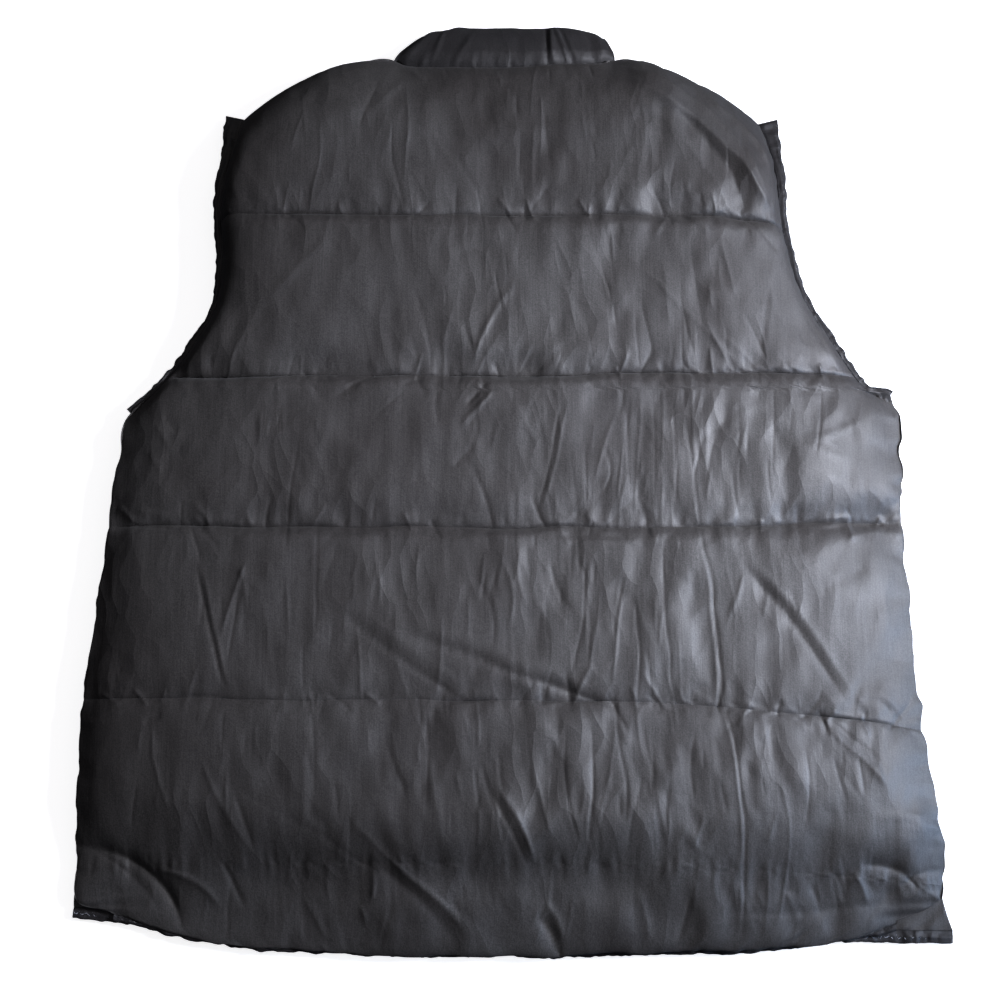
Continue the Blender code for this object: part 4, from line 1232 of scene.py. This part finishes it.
def add(tree, kind, settings=None, **links):
    """Adds a node: settings are its properties, and links its inputs, by name or number."""
    node = tree.nodes.new(kind)
    for name, value in (settings or {}).items():
        setattr(node, name, value)
    for name, value in links.items():
        numbered = name[0] == "n" and name[1:].isdigit()
        socket = node.inputs[int(name[1:]) if numbered else name.replace("_", " ")]
        if isinstance(value, bpy.types.NodeSocket):
            tree.links.new(value, socket)
        else:
            socket.default_value = value
    return node


def new_material(name):
    """An empty material and its node tree."""
    made = bpy.data.materials.new(name)
    made.use_nodes = True
    made.node_tree.nodes.clear()
    return made, made.node_tree


def calendered_nylon(name, dark, light, crinkle):
    """Down-proof nylon pressed between hot rollers: a soft satin shine, finely creased upright."""
    made, tree = new_material(name)
    place = add(tree, "ShaderNodeTexCoord").outputs["Object"]
    # hairlines about 1 mm wide and 30 mm long
    upright = add(tree, "ShaderNodeMapping", Vector=place, Scale=(900, 32, 600)).outputs[0]
    hairs = add(tree, "ShaderNodeTexNoise", Vector=upright, Scale=1.0, Detail=2.0, Roughness=0.55,
                Distortion=0.4)
    patches = add(tree, "ShaderNodeTexNoise", Vector=place, Scale=14.0, Detail=2.0, Roughness=0.5)
    mask = add(tree, "ShaderNodeMapRange", Value=patches.outputs["Fac"], From_Min=0.4, From_Max=0.62,
               To_Min=0.12, To_Max=1.0)
    # flat facets 15 to 30 mm long that meet in sharp bends, as cloth that was packed tight keeps
    warp = add(tree, "ShaderNodeTexNoise", Vector=place, Scale=22.0, Detail=0.0)
    bent = add(tree, "ShaderNodeVectorMath", {"operation": "MULTIPLY_ADD"}, n0=warp.outputs["Color"],
               n1=(0.022, 0.022, 0.0), n2=place)
    stretched = add(tree, "ShaderNodeMapping", Vector=bent.outputs[0], Scale=(74, 33, 20)).outputs[0]
    facets = add(tree, "ShaderNodeTexVoronoi", Vector=stretched, Scale=1.0)
    packed = add(tree, "ShaderNodeMath", {"operation": "MULTIPLY"}, n0=facets.outputs["Distance"],
                 n1=mask.outputs[0])
    # the plain weave, 0.1 mm, drawn at 1 mm
    grain = add(tree, "ShaderNodeTexNoise", Vector=place, Scale=950.0, Detail=2.0, Roughness=0.7)
    crumple = add(tree, "ShaderNodeTexNoise", Vector=place, Scale=150.0, Detail=4.0, Roughness=0.6,
                  Distortion=0.5)
    cloud = add(tree, "ShaderNodeTexNoise", Vector=place, Scale=9.0, Detail=4.0)
    tone = add(tree, "ShaderNodeValToRGB", Fac=cloud.outputs["Fac"])
    tone.color_ramp.elements[0].position, tone.color_ramp.elements[1].position = 0.35, 0.68
    tone.color_ramp.elements[0].color = hex_colour(dark)
    tone.color_ramp.elements[1].color = hex_colour(light)
    # the colour goes lighter and darker with the weave's grain and along the hairline creases: the
    # weave's own tone, with painted shade and highlight of the hairline creases
    fine = add(tree, "ShaderNodeMath", {"operation": "MULTIPLY_ADD"}, n0=hairs.outputs["Fac"], n1=0.4,
               n2=grain.outputs["Fac"])
    weave_tone_and_crease_shade = add(tree, "ShaderNodeMapRange", Value=fine.outputs[0], From_Min=0.55, From_Max=0.85,
              To_Min=0.7, To_Max=1.3)
    colour = add(tree, "ShaderNodeVectorMath", {"operation": "SCALE"}, n0=tone.outputs["Color"],
                 Scale=weave_tone_and_crease_shade.outputs[0])
    bump = add(tree, "ShaderNodeBump", Height=grain.outputs["Fac"], Strength=1.0, Distance=0.00008)
    for height, depth in ((hairs, 0.00006), (crumple, 0.00018), (packed, 0.0013)):
        bump = add(tree, "ShaderNodeBump", Height=height.outputs[0], Strength=1.0,
                   Distance=depth * crinkle, Normal=bump.outputs[0])
    worn = add(tree, "ShaderNodeMapRange", Value=patches.outputs["Fac"], From_Min=0.3, From_Max=0.7,
               To_Min=0.66, To_Max=0.54)
    shader = add(tree, "ShaderNodeBsdfPrincipled", Base_Color=colour.outputs[0],
                 Roughness=worn.outputs[0], Normal=bump.outputs[0], Sheen_Weight=0.05,
                 Sheen_Roughness=0.45)
    add(tree, "ShaderNodeOutputMaterial", Surface=shader.outputs[0])
    return made


def spun_thread(name, dark, light):
    """Spun thread: two plies wound round each other show as slanting bands 0.5 mm apart."""
    made, tree = new_material(name)
    place = add(tree, "ShaderNodeTexCoord").outputs["Object"]
    plies = add(tree, "ShaderNodeTexWave", {"bands_direction": "DIAGONAL"}, Vector=place, Scale=600.0,
                Distortion=1.0)
    bump = add(tree, "ShaderNodeBump", Height=plies.outputs["Fac"], Strength=1.0, Distance=0.0001)
    tone = add(tree, "ShaderNodeValToRGB", Fac=plies.outputs["Fac"])
    tone.color_ramp.elements[0].color = hex_colour(dark)
    tone.color_ramp.elements[1].color = hex_colour(light)
    shader = add(tree, "ShaderNodeBsdfPrincipled", Base_Color=tone.outputs["Color"], Roughness=0.65,
                 Normal=bump.outputs[0])
    add(tree, "ShaderNodeOutputMaterial", Surface=shader.outputs[0])
    return made


def woven_tape():
    """Zip tape: a close herringbone of polyester, its ribs 0.7 mm apart."""
    made, tree = new_material("woven_polyester_tape")
    place = add(tree, "ShaderNodeTexCoord").outputs["Object"]
    weft = add(tree, "ShaderNodeTexWave", {"bands_direction": "Y"}, Vector=place, Scale=450.0,
               Distortion=0.6)
    warp = add(tree, "ShaderNodeTexWave", {"bands_direction": "X"}, Vector=place, Scale=450.0,
               Distortion=0.6)
    weave = add(tree, "ShaderNodeMath", {"operation": "MULTIPLY"}, n0=weft.outputs["Fac"],
                n1=warp.outputs["Fac"])
    bump = add(tree, "ShaderNodeBump", Height=weave.outputs[0], Strength=1.0, Distance=0.00015)
    tone = add(tree, "ShaderNodeValToRGB", Fac=weave.outputs[0])
    tone.color_ramp.elements[0].color = hex_colour("#141415")
    tone.color_ramp.elements[1].color = hex_colour("#29292b")
    shader = add(tree, "ShaderNodeBsdfPrincipled", Base_Color=tone.outputs["Color"], Roughness=0.8,
                 Normal=bump.outputs[0])
    add(tree, "ShaderNodeOutputMaterial", Surface=shader.outputs[0])
    return made


def plated_zinc():
    """Die-cast zinc plated gunmetal: dark metal, brighter where hands and the other teeth wear it."""
    made, tree = new_material("gunmetal_plated_zinc")
    place = add(tree, "ShaderNodeTexCoord").outputs["Object"]
    scuffs = add(tree, "ShaderNodeTexNoise", Vector=place, Scale=700.0, Detail=4.0, Roughness=0.7)
    tone = add(tree, "ShaderNodeValToRGB", Fac=scuffs.outputs["Fac"])
    tone.color_ramp.elements[0].position, tone.color_ramp.elements[1].position = 0.4, 0.75
    tone.color_ramp.elements[0].color = hex_colour("#55565a")
    tone.color_ramp.elements[1].color = hex_colour("#8d8e92")
    rough = add(tree, "ShaderNodeMapRange", Value=scuffs.outputs["Fac"], To_Min=0.28, To_Max=0.5)
    bump = add(tree, "ShaderNodeBump", Height=scuffs.outputs["Fac"], Strength=1.0, Distance=0.00002)
    shader = add(tree, "ShaderNodeBsdfPrincipled", Base_Color=tone.outputs["Color"], Metallic=1.0,
                 Roughness=rough.outputs[0], Normal=bump.outputs[0])
    add(tree, "ShaderNodeOutputMaterial", Surface=shader.outputs[0])
    return made


def matt_board():
    """Matt white board with a faint grain."""
    made, tree = new_material("matt_white_board")
    place = add(tree, "ShaderNodeTexCoord").outputs["Object"]
    fibre = add(tree, "ShaderNodeTexNoise", Vector=place, Scale=400.0, Detail=3.0)
    tone = add(tree, "ShaderNodeValToRGB", Fac=fibre.outputs["Fac"])
    tone.color_ramp.elements[0].color = hex_colour("#dcdcde")
    tone.color_ramp.elements[1].color = hex_colour("#e4e4e6")
    shader = add(tree, "ShaderNodeBsdfPrincipled", Base_Color=tone.outputs["Color"], Roughness=0.9,
                 Emission_Color=hex_colour("#ffffff"), Emission_Strength=0.85)
    add(tree, "ShaderNodeOutputMaterial", Surface=shader.outputs[0])
    return made


# ------------------------------------------------------------------ stage

SENSOR = 36.0
VIEW_GAMMA = 0.87
FLOOR_HALF = 60.0
LAMPS = (  # name, width and length, watts, spread in degrees, colour, place, what it points at
    ("window", 0.4, 0.5, 5.4, 50, (0.87, 0.9, 1.0), (1.15, 0.02, 0.95), (0.12, 0.02, 0.03)),
    ("low_sky", 0.25, 0.6, 14.0, 180, (0.42, 0.65, 1.0), (1.15, -0.32, 0.16), (0.0, -0.3, 0.03)),
)


def stage():
    """The camera, the floor, the lamps and the light from all round."""
    tilt = math.radians(CAMERA_TILT)
    data = bpy.data.cameras.new("camera")
    data.sensor_width = SENSOR
    data.lens = SENSOR * CAMERA_DISTANCE / VIEW_WIDE
    camera = bpy.data.objects.new("camera", data)
    x, y, z = CAMERA_AIM
    camera.location = (x, y - CAMERA_DISTANCE * math.cos(tilt), z + CAMERA_DISTANCE * math.sin(tilt))
    camera.rotation_euler = (math.pi / 2 - tilt, 0, 0)
    bpy.context.scene.collection.objects.link(camera)
    bpy.context.scene.camera = camera
    a = FLOOR_HALF
    corners = [(-a, -a, 0), (a, -a, 0), (a, a, 0), (-a, a, 0)]
    floor = finish("floor", corners, [(0, 1, 2, 3)], matt_board())
    floor.visible_diffuse = floor.visible_glossy = False  # the cloth takes no light from it
    for name, wide, long, power, cone, colour, place, goal in LAMPS:
        light = bpy.data.lights.new(name, "AREA")
        light.shape, light.size, light.size_y = "RECTANGLE", wide, long
        light.energy, light.color, light.spread = power, colour, math.radians(cone)
        lamp = bpy.data.objects.new(name, light)
        lamp.visible_camera = False
        lamp.location = place
        lamp.rotation_euler = (Vector(goal) - Vector(place)).to_track_quat("-Z", "Y").to_euler()
        bpy.context.scene.collection.objects.link(lamp)
    world = bpy.data.worlds.new("room")
    world.use_nodes = True
    tree = world.node_tree
    # brightest overhead and a little towards the collar, dim towards the floor
    way = add(tree, "ShaderNodeTexCoord").outputs["Generated"]
    up = add(tree, "ShaderNodeVectorMath", {"operation": "DOT_PRODUCT"}, n0=way, n1=(0.25, 0.42, 0.87))
    up = add(tree, "ShaderNodeMapRange", Value=up.outputs["Value"], From_Min=0.42, From_Max=0.97)
    tint = add(tree, "ShaderNodeMix", {"data_type": "RGBA"}, Factor=up.outputs[0],
               n6=(0.55, 0.65, 1, 1), n7=(1.0, 0.93, 0.88, 1))
    shade = tree.nodes["Background"]
    tree.links.new(tint.outputs[2], shade.inputs["Color"])
    level = add(tree, "ShaderNodeMapRange", Value=up.outputs[0], To_Min=0.01, To_Max=0.47)
    tree.links.new(level.outputs[0], shade.inputs["Strength"])
    # a pale backdrop beyond the floor, which lights nothing
    direct = add(tree, "ShaderNodeLightPath").outputs["Is Camera Ray"]
    backdrop = add(tree, "ShaderNodeBackground", Color=hex_colour("#eeeef0"))
    both = add(tree, "ShaderNodeMixShader", n0=direct, n1=shade.outputs[0], n2=backdrop.outputs[0])
    tree.links.new(both.outputs[0], tree.nodes["World Output"].inputs["Surface"])
    bpy.context.scene.world = world
    bpy.context.scene.view_settings.view_transform = "Standard"
    bpy.context.scene.view_settings.gamma = VIEW_GAMMA


# ------------------------------------------------------------------ putting it together

nylon = calendered_nylon("calendered_nylon", "#363332", "#403e3d", 1.0)
# a darker copy of the same nylon for the collar: painted shade for its slope, which falls away from the
# light
collar_nylon_painted_darker = calendered_nylon("calendered_nylon_painted_darker", "#292728", "#333233", 1.2)
facing = calendered_nylon("gathered_nylon_binding", "#201e1f", "#2c2a2c", 2.0)
thread = spun_thread("spun_polyester_thread", "#1b1b1d", "#333336")
pale_thread = spun_thread("textured_polyamide_thread", "#77797f", "#a9abb2")
tape, metal = woven_tape(), plated_zinc()

backs, back_net, sewn_rows = back_shells(nylon)
fronts, front_nets, sewn_fronts = {}, {}, []
for side in ("left", "right"):
    fronts[side], front_nets[side], sewn = front_shell(side, nylon)
    sewn_fronts += [row[2:-2] - (0, 0, 0.1) for row in sewn]
flat_net = back_net[:, :, :2]
armholes, hems, rows, zigzags, lengths = {}, {}, [], [], {}
for side, edge, folds, gather in (("left", 0, 0.5, 0.2), ("right", -1, 0.25, 0.4)):
    armholes[side], up = armhole_binding(side, flat_net[:, edge], folds, gather, facing)
    rows += [up[:, 2], up[:, 6]]
    lengths["armhole " + side] = 2 * len(up) * STRIP_STEP * MM
line, run = evenly(flat_net[0], STRIP_STEP)
sections = strip(line, run, HEM_BINDING_BACK, True, 0.2, 0.5, 220)
hems["back"] = skin("hem_binding_shell_back", sections, facing)
rows.append(sections[:, 3])
lengths["back"] = run[-1] * MM
for side in ("left", "right"):
    line, run = evenly(front_nets[side][0], STRIP_STEP)
    sections = strip(line, run, HEM_BINDING_FRONT, False, 0.3, 0.5, 230)
    hems[side] = skin("hem_binding_shell_" + side, sections, facing)
    lengths[side] = run[-1] * MM
    swings = np.where(np.arange(len(line))[:, None] % 4 < 2, sections[:, 3], sections[:, 6])
    zigzags.append(swings[::2])
collar = collar_shell(flat_net, front_nets, collar_nylon_painted_darker)
sewn_back = [back_net[row] - (0, 0, 0.3) for row in sewn_rows]
quilting = stitches("quilting_thread", sewn_back + sewn_fronts, thread)
edging = stitches("binding_thread", rows, thread, long=2.0, gap=0.7, thick=0.35)
overlock = stitches("overlocking_thread", zigzags, pale_thread, long=3.2, gap=0.5, thick=0.35)
tapes = {side: zip_tape(side, tape) for side in ("left", "right")}
teeth = zip_teeth(metal)
for name in ("zip_slider", "zip_pull"):
    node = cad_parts[name]
    node.data.materials.clear()
    node.data.materials.append(metal)
    edges = node.modifiers.new("worn_edges", "BEVEL")
    edges.width, edges.segments, edges.limit_method = WORN_EDGE * MM, 2, "ANGLE"

for made, node, slot in (
    *((length, "back_panel", "black_nylon") for length in backs),
    (fronts["left"], "front_left", "black_nylon"),
    (fronts["right"], "front_right", "black_nylon"),
    (collar, "collar", "black_nylon"),
    (armholes["left"], "armhole_binding_left", "black_binding"),
    (armholes["right"], "armhole_binding_right", "black_binding"),
    (hems["back"], "hem_binding_back", "black_binding"),
    (hems["left"], "hem_binding_left", "black_binding"),
    (hems["right"], "hem_binding_right", "black_binding"),
    (tapes["left"], "zip_tape_left", "zip_tape"),
    (tapes["right"], "zip_tape_right", "zip_tape"),
    (teeth, "zip_chain", "zip_metal"),
):
    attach(made, "vest")
    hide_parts(node)
for made in (quilting, edging, overlock):
    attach(made, "vest")

stage()
